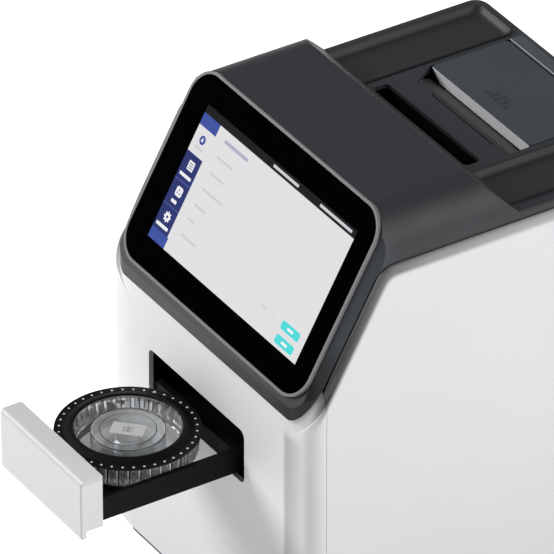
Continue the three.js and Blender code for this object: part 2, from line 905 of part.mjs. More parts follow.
function makePinion() {
  const shape = new THREE.Shape();
  const outer = pitch_r + gear_module;
  const root = pitch_r - gear_module * 1.25;
  const step = (2 * Math.PI) / pinion_teeth;
  for (let i = 0; i < pinion_teeth; i += 1) {
    const middle = i * step + step / 2;
    const points = [
      [root, middle - step * 0.32],
      [outer, middle - step * 0.12],
      [outer, middle + step * 0.12],
      [root, middle + step * 0.32],
    ];
    for (const [radius, angle] of points) {
      shape.lineTo(radius * Math.cos(angle), radius * Math.sin(angle));
    }
  }
  shape.closePath();
  const gear = alongZ(shape, gear_bottom, gear_bottom + gear_thickness).translate([
    pinionX(), pinion_y, 0,
  ]);
  const bore = cylinder(axis_z, pinion_shaft_r + gap, [pinionX(), pinion_y, gear_bottom], 4 * gear_thickness, 16);
  add("drive_pinion", gear.subtract(bore), "hub");
  const half = motor_side / 2;
  const can = alongZ(
    rectangle(pinionX() - half, pinionX() + half, pinion_y - half, pinion_y + half, motor_corner),
    deck_plate_z - gap - motor_height, deck_plate_z - gap, {}, 2,
  );
  const shaft_top = gear_bottom + gear_thickness + gap;
  const shaft_bottom = deck_plate_z - motor_height / 2;
  const shaft = cylinder(
    axis_z, pinion_shaft_r, [pinionX(), pinion_y, (shaft_top + shaft_bottom) / 2],
    shaft_top - shaft_bottom, 16,
  );
  add("drawer_motor", joined([can, shaft]), "steel");
}

function makeRotor() {
  const ring_bottom = rotor_top - ring_thickness;
  const x = drawer_centre_x;
  const ring = turned([
    [ring_inner_r, ring_bottom],
    [rotor_r, ring_bottom],
    [rotor_r, rotor_top - gap],
    [rotor_r - gap, rotor_top],
    [ring_inner_r + 4 * gap, rotor_top],
    [ring_inner_r, rotor_top - 2 * gap],
  ], x, rotor_y);
  add("rotor_ring", ring, "black");

  const top = ring_bottom - gap;
  const floor_top = cuvette_bottom + disc_floor;
  const dish = turned([
    [disc_hole_r, cuvette_bottom],
    [cuvette_outer_r, cuvette_bottom],
    [cuvette_outer_r, top],
    [cuvette_inner_r, top],
    [cuvette_inner_r, top - disc_wall],
    [ring_inner_r - disc_wall, floor_top],
    [disc_cup_r, floor_top],
    [disc_cup_r, disc_cup_top - gap],
    [disc_cup_r - gap, disc_cup_top],
    [disc_cup_mouth_r, disc_cup_top],
    [disc_cup_mouth_r, disc_cup_top - disc_wall],
    [disc_cup_r - disc_wall, disc_cup_top - disc_wall],
    [disc_cup_r - disc_wall, floor_top],
    [disc_hole_r, floor_top],
  ], x, rotor_y, cuvette_count * 2);
  const pocket_depth = cuvette_outer_r - cuvette_inner_r - 2 * disc_wall;
  const pocket_width = (2 * Math.PI * cuvette_inner_r) / cuvette_count - cuvette_rib;
  const pockets = [];
  const grooves = [];
  for (let i = 0; i < cuvette_count; i += 1) {
    const angle = (360 / cuvette_count) * (i + 0.5);
    const r0 = cuvette_inner_r + disc_wall;
    const pocket = box(
      r0, r0 + pocket_depth, -pocket_width / 2, pocket_width / 2, cuvette_bottom + disc_wall, top + overrun,
    );
    pockets.push(pocket.rotate([0, 0, angle]).translate([x, rotor_y, 0]));
    const groove = box(
      cuvette_outer_r - disc_wall / 2, cuvette_outer_r + overrun, -cuvette_rib / 3, cuvette_rib / 3,
      cuvette_bottom - overrun, top - disc_wall,
    );
    grooves.push(groove.rotate([0, 0, angle + 180 / cuvette_count]).translate([x, rotor_y, 0]));
  }
  add("cuvette_disc", dish.subtract(joined(pockets)).subtract(joined(grooves)), "clear");

  const hub_bottom = tray_bottom + tray_floor + 2 * gap + spindle_motor_height;
  const hub = turned([
    [0, hub_bottom],
    [hub_flange_r, hub_bottom],
    [hub_flange_r, cuvette_bottom - gap],
    [hub_r, cuvette_bottom - gap],
    [hub_r, hub_top - disc_wall],
    [hub_r - disc_wall, hub_top],
    [0, hub_top],
  ], x, rotor_y, round_steps);
  add("rotor_hub", hub, "hub");
}

function makeIncubator() {
  const z0 = deck_plate_z + deck_plate_thickness + gap;
  const x = drawer_centre_x;
  const outer = box(
    x - incubator_half, x + incubator_half, incubator_front_y, incubator_rear_y, z0, incubator_top,
  );
  const room = box(
    x - incubator_half + incubator_wall, x + incubator_half - incubator_wall, 0, body_depth,
    0, incubator_top - incubator_wall,
  );
  const lamp_at = [x + lamp_offset_y, closedY(), incubator_top];
  const window = cylinder(axis_z, lamp_r / 2, lamp_at, 4 * incubator_wall);
  add("incubator_cover", cut(outer, [room, window]), "black");
  const lamp_z = incubator_top + gap + lamp_height / 2;
  add(
    "lamp_module", cylinder(axis_z, lamp_r, [lamp_at[0], lamp_at[1], lamp_z], lamp_height), "steel",
  );
  const half = detector_side / 2;
  add(
    "detector_module",
    box(
      lamp_at[0] - half, lamp_at[0] + half, lamp_at[1] - half, lamp_at[1] + half,
      deck_plate_z - gap - detector_height, deck_plate_z - gap,
    ),
    "black",
  );
}

function makeElectronics() {
  const floor = body_bottom + base_wall + gap + chassis_thickness + gap;
  const board_z = floor + board_standoff;
  const x0 = 2 * wall;
  const x1 = chassis_side_x - 4 * wall;
  const y0 = body_depth / 8;
  const y1 = body_depth - 8 * wall;
  const posts = [x0 + 2 * standoff_r, x1 - 2 * standoff_r].flatMap((x) =>
    [y0 + 2 * standoff_r, y1 - 2 * standoff_r].map((y) =>
      cylinder(axis_z, standoff_r, [x, y, floor + board_standoff / 2], board_standoff + gap, 12)));
  posts.forEach((post, i) => { posts[i] = post.translate([0, 0, gap / 2]); });
  const board = box(x0, x1, y0, y1, board_z, board_z + board_thickness);
  const parts = [
    box(x0 + 4 * wall, x0 + 12 * wall, y0 + 8 * wall, y0 + 16 * wall, board_z, board_z + wall),
    box(x1 - 8 * wall, x1 - 3 * wall, y0 + 20 * wall, y0 + 34 * wall, board_z, board_z + 2 * wall),
  ];
  add("main_board", joined([board, ...posts, ...parts]), "board");
  const supply = box(
    -(chassis_side_x - 4 * wall), -2 * wall, body_depth / 2, body_depth - 14 * wall, floor, floor + supply_height,
  );
  const supply_room = box(
    -(chassis_side_x - 5 * wall), -3 * wall, body_depth / 2 + wall, body_depth - 15 * wall,
    floor + wall, floor + supply_height + overrun,
  );
  add("power_supply", supply.subtract(supply_room), "steel");
}

function socketBody(x, z, width, height, depth, thickness, flange) {
  const panel = body_depth;
  const body = box(x - width / 2, x + width / 2, panel - depth, panel, z - height / 2, z + height / 2);
  const lip = box(
    x - width / 2 - flange, x + width / 2 + flange, panel + gap, panel + gap + thickness,
    z - height / 2 - flange / 2, z + height / 2 + flange / 2,
  );
  const neck = box(x - width / 2, x + width / 2, panel - gap, panel + thickness, z - height / 2, z + height / 2);
  return flange > 0 ? joined([body, lip, neck]) : body;
}

function makeRearPanel() {
  const half = cover_half - 2 * gap;
  const y0 = body_depth - rear_panel_thickness;
  const panel = box(
    -(inner_half - gap), inner_half - gap, y0, body_depth, body_bottom + base_wall + gap, joint_top - gap,
  );
  const slab = common([
    panel,
    alongZ(planOutline(half_width, 0, body_depth, 0, rear_corner_r), 0, hood_top),
  ]);
  const fan_hole = cylinder(axis_y, fan_bore_r, [0, body_depth, fan_z], 4 * rear_panel_thickness, large_round_steps);
  const holes = [
    [inlet_x, socket_z, inlet_width, inlet_height],
    [inlet_x, switch_z, switch_width, switch_height],
    [usb_x, socket_z, usb_width, usb_height],
    [lan_x, socket_z, lan_width, lan_height],
  ].map(([x, z, width, height]) => box(
    x - width / 2 - gap, x + width / 2 + gap, y0 - overrun, body_depth + overrun,
    z - height / 2 - gap, z + height / 2 + gap,
  ));
  add("rear_panel", cut(slab, [fan_hole, ...holes]), "white");

  const inlet = socketBody(inlet_x, socket_z, inlet_width, inlet_height, inlet_depth, grille_wire, inlet_flange);
  const cavity = box(
    inlet_x - inlet_width / 2 + inlet_wall, inlet_x + inlet_width / 2 - inlet_wall,
    body_depth - inlet_cavity_depth, body_depth + overrun,
    socket_z - inlet_height / 2 + inlet_wall, socket_z + inlet_height / 2 - inlet_wall,
  );
  const blades = [-1, 0, 1].map((i) => box(
    inlet_x + i * blade_spacing - blade_width / 2, inlet_x + i * blade_spacing + blade_width / 2,
    body_depth - inlet_cavity_depth - gap, body_depth - inlet_cavity_depth / 4,
    socket_z + (i === 0 ? 1 : -1) * (blade_height / 2) - blade_height / 2,
    socket_z + (i === 0 ? 1 : -1) * (blade_height / 2) + blade_height / 2,
  ));
  add("power_inlet", joined([inlet.subtract(cavity), ...blades]), "black");

  const ports = [
    ["usb_socket", usb_x, usb_width, usb_height],
    ["network_socket", lan_x, lan_width, lan_height],
  ];
  for (const [name, x, width, height] of ports) {
    const port = socketBody(x, socket_z, width, height, port_depth, 0, 0);
    const hollow = box(
      x - width / 2 + port_wall, x + width / 2 - port_wall, body_depth - port_depth * 0.75,
      body_depth + overrun, socket_z - height / 2 + port_wall, socket_z + height / 2 - port_wall,
    );
    const tongue = box(
      x - width / 3, x + width / 3, body_depth - port_depth * 0.75 - gap, body_depth - gap,
      socket_z + height / 2 - port_wall - port_wall * 1.2, socket_z + height / 2 - port_wall / 2,
    );
    add(name, joined([port.subtract(hollow), tongue]), "steel");
  }
}

function makeSwitch() {
  const frame = socketBody(inlet_x, switch_z, switch_width, switch_height, switch_depth, grille_wire, switch_wall);
  const room = box(
    inlet_x - switch_width / 2 + switch_wall, inlet_x + switch_width / 2 - switch_wall,
    body_depth - switch_depth + switch_wall, body_depth + overrun,
    switch_z - switch_height / 2 + switch_wall, switch_z + switch_height / 2 - switch_wall,
  );
  add("switch_frame", frame.subtract(room), "black");
  const width = switch_width - 2 * switch_wall - 4 * gap;
  const height = switch_height - 2 * switch_wall - 4 * gap;
  const pivot_y = body_depth - switch_depth / 2;
  const rocker_swing = pivotReach() * Math.sin(THREE.MathUtils.degToRad(rocker_tilt));
  const profile = outline([
    [-pivotBack(), -height / 4],
    [0, -height / 2],
    [pivotReach() - gap, gap + rocker_swing - height / 2, 0.5],
    [pivotReach() - rocker_dip, 0, rocker_r],
    [pivotReach() - gap, height / 2 - gap - rocker_swing, 0.5],
    [0, height / 2],
    [-pivotBack(), height / 4],
  ]);
  const rocker = alongX(profile, -width / 2, width / 2, {}, 2)
    .rotate([rocker_tilt, 0, 0])
    .translate([inlet_x, pivot_y, switch_z]);
  add("power_rocker", rocker, "black");
}

const pivotReach = () => switch_depth / 2 + grille_wire;
const pivotBack = () => switch_depth / 3;

function makeFan() {
  const y1 = body_depth - rear_panel_thickness - gap;
  const y0 = y1 - fan_depth;
  const half = fan_side / 2;
  const square = alongY(
    rectangle(-half, half, fan_z - half, fan_z + half, fan_corner_r), y0, y1, {}, 2,
  );
  const bore = cylinder(axis_y, fan_bore_r, [0, (y0 + y1) / 2, fan_z], 2 * fan_depth, 48);
  const strut_y = y0 + fan_floor;
  const struts = [0, 1].map((i) => box(
    -(i === 0 ? half : fan_strut / 2), i === 0 ? half : fan_strut / 2, y0, strut_y,
    fan_z - (i === 0 ? fan_strut / 2 : half), fan_z + (i === 0 ? fan_strut / 2 : half),
  ));
  const boss = cylinder(axis_y, fan_hub_r, [0, (y0 + strut_y) / 2, fan_z], fan_floor, round_steps);
  const axle_length = fan_depth - 2 * fan_floor;
  const axle = cylinder(axis_y, pin_r, [0, y0 + axle_length / 2, fan_z], axle_length, 12);
  add("fan_frame", joined([square.subtract(bore), ...struts, boss, axle]), "black");

  const blade_y0 = strut_y + 2 * gap;
  const blade_y1 = y1 - 2 * fan_floor;
  const hub = cylinder(axis_y, fan_hub_r, [0, (blade_y0 + blade_y1) / 2, fan_z], blade_y1 - blade_y0, round_steps);
  const blade_r = fan_bore_r - fan_blade_clearance;
  const blades = [];
  const pitch_turn = 38;
  for (let i = 0; i < fan_blades; i += 1) {
    const length = (blade_y1 - blade_y0) / Math.cos(THREE.MathUtils.degToRad(pitch_turn)) ;
    const blade = box(
      -fan_blade_thickness / 2, fan_blade_thickness / 2, -length, length, fan_hub_r - gap, blade_r,
    ).rotate([0, 0, pitch_turn]);
    const angle = (360 / fan_blades) * i;
    blades.push(blade.rotate([0, angle, 0]).translate([0, (blade_y0 + blade_y1) / 2, fan_z]));
  }
  const reach = cylinder(axis_y, blade_r, [0, (blade_y0 + blade_y1) / 2, fan_z], blade_y1 - blade_y0, 48);
  const bore_axle = cylinder(axis_y, pin_r + pin_clearance, [0, y0, fan_z], 4 * fan_depth, 12);
  add("fan_rotor", cut(joined([hub, joined(blades).intersect(reach)]), [bore_axle]), "black");

  const grille_y0 = body_depth + gap;
  const rings = [];
  for (let i = 1; i <= grille_rings; i += 1) {
    const r = grille_hub_r + ((fan_bore_r - grille_hub_r) * i) / grille_rings;
    const ring = cylinder(axis_y, r + grille_wire / 2, [0, grille_y0 + grille_wire / 2, fan_z], grille_wire, 48);
    const inner = cylinder(axis_y, r - grille_wire / 2, [0, grille_y0, fan_z], 4 * grille_wire, 48);
    rings.push(ring.subtract(inner));
  }
  const cap = cylinder(axis_y, grille_hub_r, [0, grille_y0 + grille_wire / 2, fan_z], grille_wire, round_steps);
  const reach_out = fan_bore_r + 2 * grille_wire;
  const spokes = [45, 135].map((angle) => box(
    -reach_out, reach_out, grille_y0, grille_y0 + grille_wire, -grille_wire / 2, grille_wire / 2,
  ).rotate([0, angle, 0]).translate([0, 0, fan_z]));
  add("fan_grille", joined([...rings, cap, ...spokes]), "steel");
}

function makeGripCup() {
  const clearance = grip_cup_wall + gap;
  const rim_z = plateau_top - deck_wall - gap;
  const outer = alongZ(
    rectangle(
      -grip_half - clearance, grip_half + clearance, grip_front_y - clearance, grip_rear_y + clearance,
      grip_corner_r + clearance,
    ),
    rim_z - grip_depth, rim_z, {}, 4,
  );
  const inner = alongZ(
    rectangle(-grip_half, grip_half, grip_front_y, grip_rear_y, grip_corner_r),
    rim_z - grip_depth + grip_cup_wall, rim_z + overrun, {}, 4,
  );
  const slope_clear = hood(wall + gap);
  const slope_side = cut(
    box(-half_width, half_width, 0, hood_rear_y * 2, body_bottom, hood_top + overrun), [slope_clear],
  );
  const front_part = common([
    slope_side,
    box(-half_width, half_width, 0, grip_front_y - gap, joint_top - overrun, hood_top),
  ]);
  add("grip_recess", cut(outer, [inner, front_part]), "black");
}

function makePrinter() {
  const top = plateau_top - 0.3 * gap;
  const low = top - apron_drop;
  const flange_z = lid_pivot_z - lid_knuckle_r - gap;
  const ramp = alongX(outline([
    [printer_front_y, top],
    [printer_front_y, top - 3 * apron_thickness],
    [apron_rear_y, low - 3 * apron_thickness],
    [apron_rear_y, low],
    [printer_front_y + apron_thickness, top],
  ]), -printer_half, printer_half);
  const apron = ramp.intersect(alongZ(printerOutline(0), 0, hood_top));
  const above_ramp = alongX(outline([
    [printer_front_y + apron_thickness, top],
    [apron_rear_y, low],
    [lid_front_y, low],
    [lid_front_y, top + overrun],
    [printer_front_y + apron_thickness, top + overrun],
  ]), -body_width, body_width);
  const tub = box(
    -(bucket_half + bucket_wall), bucket_half + bucket_wall, apron_rear_y - bucket_wall,
    bucket_rear_y + bucket_wall, bucket_bottom - bucket_wall, flange_z,
  );
  const lid_path = box(
    -printer_half, printer_half, lid_front_y - 2 * gap, bucket_front_y, platen_z - 2 * platen_r, flange_z + overrun,
  );
  const room = box(
    -bucket_half, bucket_half, bucket_front_y - gap, bucket_rear_y, bucket_bottom, lid_top + overrun,
  );
  const sides = [-1, 1].map((side) => box(
    Math.min(side * bucket_half, side * printer_half), Math.max(side * bucket_half, side * printer_half),
    apron_rear_y - bucket_wall, printer_rear_y, flange_z - 2 * lid_thickness, flange_z - lid_lip_height / 2,
  ));
  const rear = box(
    -printer_half, printer_half, bucket_rear_y, printer_rear_y, flange_z - 2 * lid_thickness,
    flange_z - lid_lip_height / 2,
  );
  const ears = [-1, 1].flatMap((side) => {
    const x0 = side * (lid_knuckle_x + lid_knuckle_length + gap);
    const x1 = x0 + side * bucket_wall * 2;
    const stem = box(
      Math.min(x0, x1), Math.max(x0, x1), lid_pivot_y - lid_ear_r, lid_pivot_y + lid_ear_r,
      flange_z - 2 * lid_thickness, lid_pivot_z,
    );
    const eye = cylinder(axis_x, lid_ear_r, [(x0 + x1) / 2, lid_pivot_y, lid_pivot_z], bucket_wall * 2, 16);
    return [stem, eye];
  });
  const pin_bore = cylinder(
    axis_x, pin_r + pin_clearance, [0, lid_pivot_y, lid_pivot_z], 2 * printer_half, 12,
  );
  const roller_room = cylinder(axis_x, platen_r + 1.5 * gap, [0, platen_y, platen_z], 2 * printer_half, 24);
  const roller_path = box(
    -printer_half, printer_half, bucket_front_y - 2 * gap, platen_y + platen_r, platen_z, flange_z + overrun,
  );
  const frame = cut(joined([tub, apron, ...sides, rear, ...ears]), [
    room, lid_path, above_ramp, pin_bore, roller_room, roller_path,
  ]);
  add("printer_frame", frame, "dark");

  const plate = alongZ(
    rectangle(-printer_half + gap, printer_half - gap, lid_front_y, lid_rear_y, lid_corner_r),
    lid_top - lid_thickness, lid_top, {}, 3,
  );
  const lip_x = printer_half - gap;
  const lip = alongY(outline([
    [lid_lip_height - lip_x, lid_top - lid_lip_height, lid_corner_r],
    [lip_x, lid_top - lid_lip_height],
    [lip_x, lid_top - lid_thickness],
    [-lip_x, lid_top - lid_thickness],
  ]), lid_front_y, lid_front_y + lid_lip_thickness);
  const knuckles = [-1, 1].map((side) => cylinder(
    axis_x, lid_knuckle_r, [side * (lid_knuckle_x + lid_knuckle_length / 2), lid_pivot_y, lid_pivot_z],
    lid_knuckle_length, 16,
  ));
  const arms = [-1, 1].map((side) => {
    const x0 = side * (platen_half + gap);
    const x1 = x0 + side * platen_arm_thickness;
    return box(
      Math.min(x0, x1), Math.max(x0, x1), platen_y - platen_r + gap, platen_y + platen_r,
      platen_z - platen_r + gap, lid_top - gap,
    );
  });
  const ear_room = [-1, 1].map((side) => {
    const x0 = side * (lid_knuckle_x + lid_knuckle_length);
    const x1 = x0 + side * (bucket_wall * 2 + 2 * gap);
    return box(
      Math.min(x0, x1), Math.max(x0, x1), lid_pivot_y - lid_knuckle_r - 2 * gap, lid_rear_y + overrun,
      0, lid_top - lid_skin,
    );
  });
  const axle_bore = cylinder(axis_x, platen_axle_r + gap, [0, platen_y, platen_z], 2 * printer_half, 12);
  const lid = cut(joined([plate, lip, ...knuckles, ...arms]), [
    ...ear_room,
    cylinder(axis_x, pin_r + pin_clearance, [0, lid_pivot_y, lid_pivot_z], 2 * printer_half, 12),
    axle_bore,
  ]);
  add("printer_lid", lid, "lid");

  const pin_length = 2 * (lid_knuckle_x + lid_knuckle_length + gap + bucket_wall * 2);
  add("lid_hinge_pin", cylinder(axis_x, pin_r, [0, lid_pivot_y, lid_pivot_z], pin_length, 12), "steel");

  const roller = cylinder(axis_x, platen_r, [0, platen_y, platen_z], 2 * platen_half - gap, 20);
  const axle = cylinder(
    axis_x, platen_axle_r, [0, platen_y, platen_z], 2 * (platen_half + platen_arm_thickness + gap), 12,
  );
  add("platen_roller", joined([roller, axle]), "rubber");

  const head = box(
    -platen_half, platen_half, platen_y - platen_r - gap - head_thickness, platen_y - platen_r - gap,
    lid_top - lid_lip_height - head_height, lid_top - lid_lip_height - 2 * gap,
  );
  add("print_head", head, "steel");

  const roll = cylinder(axis_x, paper_r, [0, (bucket_front_y + bucket_rear_y) / 2, paper_z], 2 * paper_half, 40);
  const core = cylinder(axis_x, paper_core_r, [0, (bucket_front_y + bucket_rear_y) / 2, paper_z], 3 * paper_half, 24);
  add("paper_roll", roll.subtract(core), "paper");

  const strip = alongX(outline([
    [strip_front_y, lid_top - strip_thickness],
    [printer_rear_y, lid_top - strip_thickness],
    [printer_rear_y, lid_top, gap],
    [strip_front_y, lid_top, gap],
  ]), -printer_half, printer_half, {}, 2);
  add("printer_strip", strip, "lid");
}

const body = whiteBody();
makeFrontShell(body);
makeSidePanel("side_panel_left", body, -1);
makeSidePanel("side_panel_right", body, 1);
makeTopCover();
makeScreen();
makeBase();
makeChassis();
makeSlotFrame();
makeDrawer();
makeRails();
makeRack();
makePinion();
makeRotor();
makeIncubator();
makeElectronics();
makeRearPanel();
makeSwitch();
makeFan();
makeGripCup();
makePrinter();

export default analyzer;
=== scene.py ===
"""Looks of the benchtop chemistry analyzer: materials, screen picture, rotor details, light and camera."""

import math

import bmesh
import bpy
from mathutils import Matrix, Vector


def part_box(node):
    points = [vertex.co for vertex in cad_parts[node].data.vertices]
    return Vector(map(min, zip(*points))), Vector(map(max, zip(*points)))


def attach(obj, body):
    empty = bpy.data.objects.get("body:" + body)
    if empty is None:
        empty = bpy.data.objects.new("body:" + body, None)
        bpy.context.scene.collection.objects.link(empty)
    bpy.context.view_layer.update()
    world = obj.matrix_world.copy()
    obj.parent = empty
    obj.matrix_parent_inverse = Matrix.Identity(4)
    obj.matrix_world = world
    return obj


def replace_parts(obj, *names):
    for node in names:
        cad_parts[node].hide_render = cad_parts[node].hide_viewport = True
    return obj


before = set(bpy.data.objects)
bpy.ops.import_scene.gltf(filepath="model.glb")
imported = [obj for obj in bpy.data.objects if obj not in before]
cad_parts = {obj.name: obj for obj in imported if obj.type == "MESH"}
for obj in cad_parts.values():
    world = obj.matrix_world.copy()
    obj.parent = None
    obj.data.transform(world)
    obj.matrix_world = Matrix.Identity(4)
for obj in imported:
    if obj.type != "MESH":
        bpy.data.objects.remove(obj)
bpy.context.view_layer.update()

# Sizes below are in millimetres, unless their comment says otherwise
MM = 0.001
X_AXIS = Vector((1, 0, 0))
Y_AXIS = Vector((0, 1, 0))
Z_AXIS = Vector((0, 0, 1))
FRONT_FACE_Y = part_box("front_shell")[0][1]

# Camera: where the photograph was taken from. Distance and reach are in metres; picture, focal length
# and aim are in pixels.
PICTURE = 554
CAMERA_AZIMUTH = math.radians(57.683)
CAMERA_ELEVATION = math.radians(33.367)
CAMERA_DISTANCE = 5051.31 * MM
CAMERA_REACH = 50
FOCAL_PIXELS = 9081.96
SENSOR_WIDTH = 36.0
AIM_PIXEL = (251.4, 233.3)

# Lights: name, place and side in metres, power in watts
LIGHTS = (
    ("side_light", (2.21, 1.55, 2.04), 2.6, 55),
    ("front_light", (-2.25, -1.76, 1.8), 1.4, 86),
)
LIGHT_TARGET = (0, 0, 0.15)
AMBIENT = 0.2

# Floor: half its side in metres, its grey, and how its glow grows with the distance along a direction
FLOOR_HALF = 6.0
FLOOR_GREY = (0.5, 0.5, 0.5)
FLOOR_ROUGHNESS = 0.9
FLOOR_DIRECTION = (-0.866, -0.5, 0)
FLOOR_SPREAD = {"From Min": 0.05, "From Max": 0.5, "To Min": 0.4, "To Max": 1.0}

# Surfaces: scale and detail of the noise behind colour, gloss, grain and brushed lines, with its strength
DRIFT_SCALE = 18
DRIFT_DETAIL = 3
DRIFT_RAMP = (0.3, 0.7)
GLOSS_SCALE = 60
GLOSS_DETAIL = 4
GLOSS_SPREAD = 0.05
GRAIN_DETAIL = 2
SHELL_GRAIN = 0.012
COVER_GRAIN = 0.03
LID_GRAIN = 0.004
PAPER_GRAIN = 0.03
BRUSH_SCALE = 40
BRUSH_DETAIL = 3
BRUSH_SPREAD = (0.7, 1.4)
BRUSH_DEPTH = 0.01
LIT_ROUGHNESS = 0.25
LIT_GLOSS = 0.1
GLASS_COLOR = (0.0002, 0.0002, 0.0003)
GLASS_ROUGHNESS = 0.12
GLASS_GLOSS = 0.02
CLEAR_ROUGHNESS = 0.12
CLEAR_TRANSMISSION = 0.85
CLEAR_IOR = 1.45
CLEAR_GRAIN_SCALE = 120
CLEAR_GRAIN = 0.02

# Painted shade along the joint between the dark hood and the white body, whose edge lies in shade on both
# sides
JOINT_DEPTH = 4.4
JOINT_TOP = 282.6
JOINT_ROUND = 8.0
EDGE_SHADE = (3.5, 7.2)
EDGE_SIDE = (97.0, 103.0)
EDGE_START = (3.0, 14.0)
EDGE_REACH = 200.0
EDGE_TONES = ((0.0, 0.045), (0.12, 0.065), (0.25, 0.16), (0.4, 0.31), (1.0, 0.5))
EDGE_TINT = (0.98, 1.0, 1.02)

# Painted shade and painted light: a factor on the base colour, and the bands (axis, from, to) over which
# it fades in.
# Values along Y count from the front face.
# Painted shade on the front shell's right front corner, darkest just past the fold and fading toward the
# side, below the hood
CORNER_FOLD_SHADE = (0.6, (("X", 79.5, 83.5), ("X", 104.0, 80.0), ("Z", 184.0, 176.0)))
# Painted shade on the front face of the drawer front, and on its top
DRAWER_FACE_SHADE = (0.63, (("Y", -101.0, -103.8),))
DRAWER_TOP_SHADE = (0.86, (("Z", 151.0, 153.0),))
# Painted shade on the lower front of the hood, deepest toward its right corner
HOOD_CORNER_SHADE = (0.05, (("X", 20.0, 102.0), ("X", 106.0, 103.0), ("Z", 232.0, 214.0), ("Y", 14.0, 6.0)))
# Painted light on the front part of the hood's right flank
HOOD_FLANK_LIGHT = (2.2, (("X", 95.0, 99.0), ("Z", 226.0, 240.0), ("Y", 62.0, 44.0)))

# Screen: its plane, and how the picture lies on the glass
SCREEN_TILT = math.radians(61)
SCREEN_HEIGHT = 256.0
SCREEN_SETBACK = 30.0
SCREEN_UP = Vector((0, math.cos(SCREEN_TILT), math.sin(SCREEN_TILT)))
SCREEN_OUT = Vector((0, -math.sin(SCREEN_TILT), math.cos(SCREEN_TILT)))
SCREEN_CENTRE = Vector((0, FRONT_FACE_Y + SCREEN_SETBACK * MM, SCREEN_HEIGHT * MM))
GLASS_PROUD = 1.75
PICTURE_LIFT = 0.06
PICTURE_STEP = 0.02
PICTURE_SHIFT = (1.88, 0.705)

# Screen picture, from the middle of the screen; boxes are (left, right, bottom, top)
DISPLAY_HALF_WIDTH = 77.2
DISPLAY_TOP = 42.0
DISPLAY_BOTTOM = -42.0
STATUS_BOTTOM = 37.1
SIDEBAR_RIGHT = -61.6
SIDEBAR_BLOCK_RIGHT = -60.5
TAB_TOP = 29.8
NAVY_TOP = 13.4
NAVY_BOTTOM = -35.2
SEPARATORS = (-3.8, -19.7)
SEPARATOR_HALF = 0.25
BUTTONS = ((53.6, 71.6, -31.4, -26.2), (53.6, 71.4, -39.9, -34.7))
BUTTON_ROUND = 1.4
BUTTON_MARKS = ((59.5, 65.5, -29.7, -28.1), (59.5, 65.5, -38.2, -36.6))
BUTTON_MARK_ROUND = 0.6
ARROW_DISC = (-69.0, 23.1, 2.7)
ARROW = ((-70.4, 22.2), (-67.9, 22.2), (-69.1, 24.8))
SHEET_ICON = (-71.5, -65.9, 3.9, 9.6)
SHEET_ROUND = 0.6
SHEET_LINES = (5.0, 6.4, 7.8)
SHEET_LINE_ENDS = (-70.6, -66.8)
SHEET_LINE_HEIGHT = 0.5
DOTS_ICON = (-71.7, -65.7, -12.6, -6.8)
DOTS_ROUND = 1.4
DOTS = ((-69.9, -10.6), (-67.5, -10.6), (-68.7, -8.6))
DOTS_R = 0.55
DOTS_STEPS = 12
GEAR_PLACE = (-68.8, -25.8)
GEAR_RADII = (2.5, 3.3)
GEAR_TEETH = 8
GEAR_TOOTH = ((-0.3, 0), (-0.18, 1), (0.18, 1), (0.3, 0))
GEAR_HOLE_R = 0.9
GEAR_HOLE_STEPS = 16
TAB_WORDS = ((-75.3, -63.9, -1.0, 0.9), (-72.0, -66.8, -17.1, -15.1), (-75.6, -63.8, -33.0, -31.0))
WORD_ROUND = 0.5
ROW_WORDS = (
    (-52.2, -36.1, 20.6, 22.0),
    (-51.9, -37.6, 10.6, 12.0),
    (-52.3, -31.7, 0.4, 1.8),
    (-52.8, -41.1, -9.9, -8.5),
    (-53.1, -46.3, -18.7, -17.3),
    (-52.8, -37.0, -28.9, -27.5),
)
SMALL_WORDS = (
    (32.1, 38.0, -28.5, -27.5),
    (43.6, 45.2, -28.4, -27.4),
    (42.6, 43.8, -9.4, -8.4),
    (43.2, 44.4, -38.2, -37.2),
)
SMALL_WORD_ROUND = 0.4
HOME_WORD = (-73.2, -64.8, 17.2, 18.6)
TITLE = (-51.8, -27.8, 30.4, 32.4)
TITLE_ROUND = 0.8
STATUS_WORDS = ((-7.0, 19.0, 38.7, 40.4), (41.0, 73.5, 38.7, 40.4))

# Rotor: profiles are closed outlines of (radius, height), turned about the rotor's axis
RING_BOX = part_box("rotor_ring")
ROTOR_X = (RING_BOX[0][0] + RING_BOX[1][0]) / 2
ROTOR_Y = (RING_BOX[0][1] + RING_BOX[1][1]) / 2
ROTOR_AXIS = Matrix.Translation((ROTOR_X, ROTOR_Y, 0))
TURN_STEPS = 96
TURN_SHARP = math.radians(35)
RING_PROFILE = (
    (31.0, 146.9), (32.4, 146.7), (35.6, 145.3), (41.7, 145.3), (41.85, 145.5),
    (41.7, 145.75), (37.4, 145.75), (36.8, 145.9), (36.0, 146.3), (34.4, 147.1),
    (32.8, 147.7), (31.7, 147.95), (31.1, 147.85), (30.7, 147.5), (30.7, 147.1),
)
CLEAR_PROFILES = {
    "cuvette_collar": ((39.4, 143.62), (40.0, 143.62), (40.0, 145.2), (39.4, 145.2)),
    "disc_wall": ((30.9, 146.8), (31.7, 146.6), (34.2, 143.7), (33.4, 143.7)),
    "disc_foil": ((0.05, 145.02), (15.8, 145.02), (15.8, 145.1), (0.05, 145.1)),
}
CUP_LINES = {
    "cup_edge_line": ((21.0, 145.02), (21.45, 145.02), (21.45, 145.1), (21.0, 145.1)),
    "cup_mouth_line": ((15.9, 145.11), (16.2, 145.11), (16.2, 145.16), (15.9, 145.16)),
}

# Upright bars of the disc, one for each cuvette; turn is a share of their pitch
CUVETTE_COUNT = 40
RIBS = {"circle": 39.65, "width": 0.7, "depth": 0.45, "turn": 0.5, "foot": 134.2, "top": 145.1}
GAPS = {"circle": 39.65, "width": 0.6, "depth": 0.3, "turn": 0.64, "foot": 134.2, "top": 145.1}
INNER_LINES = {"circle": 33.3, "width": 0.5, "depth": 0.25, "turn": 0.25, "foot": 136.0, "top": 143.6}

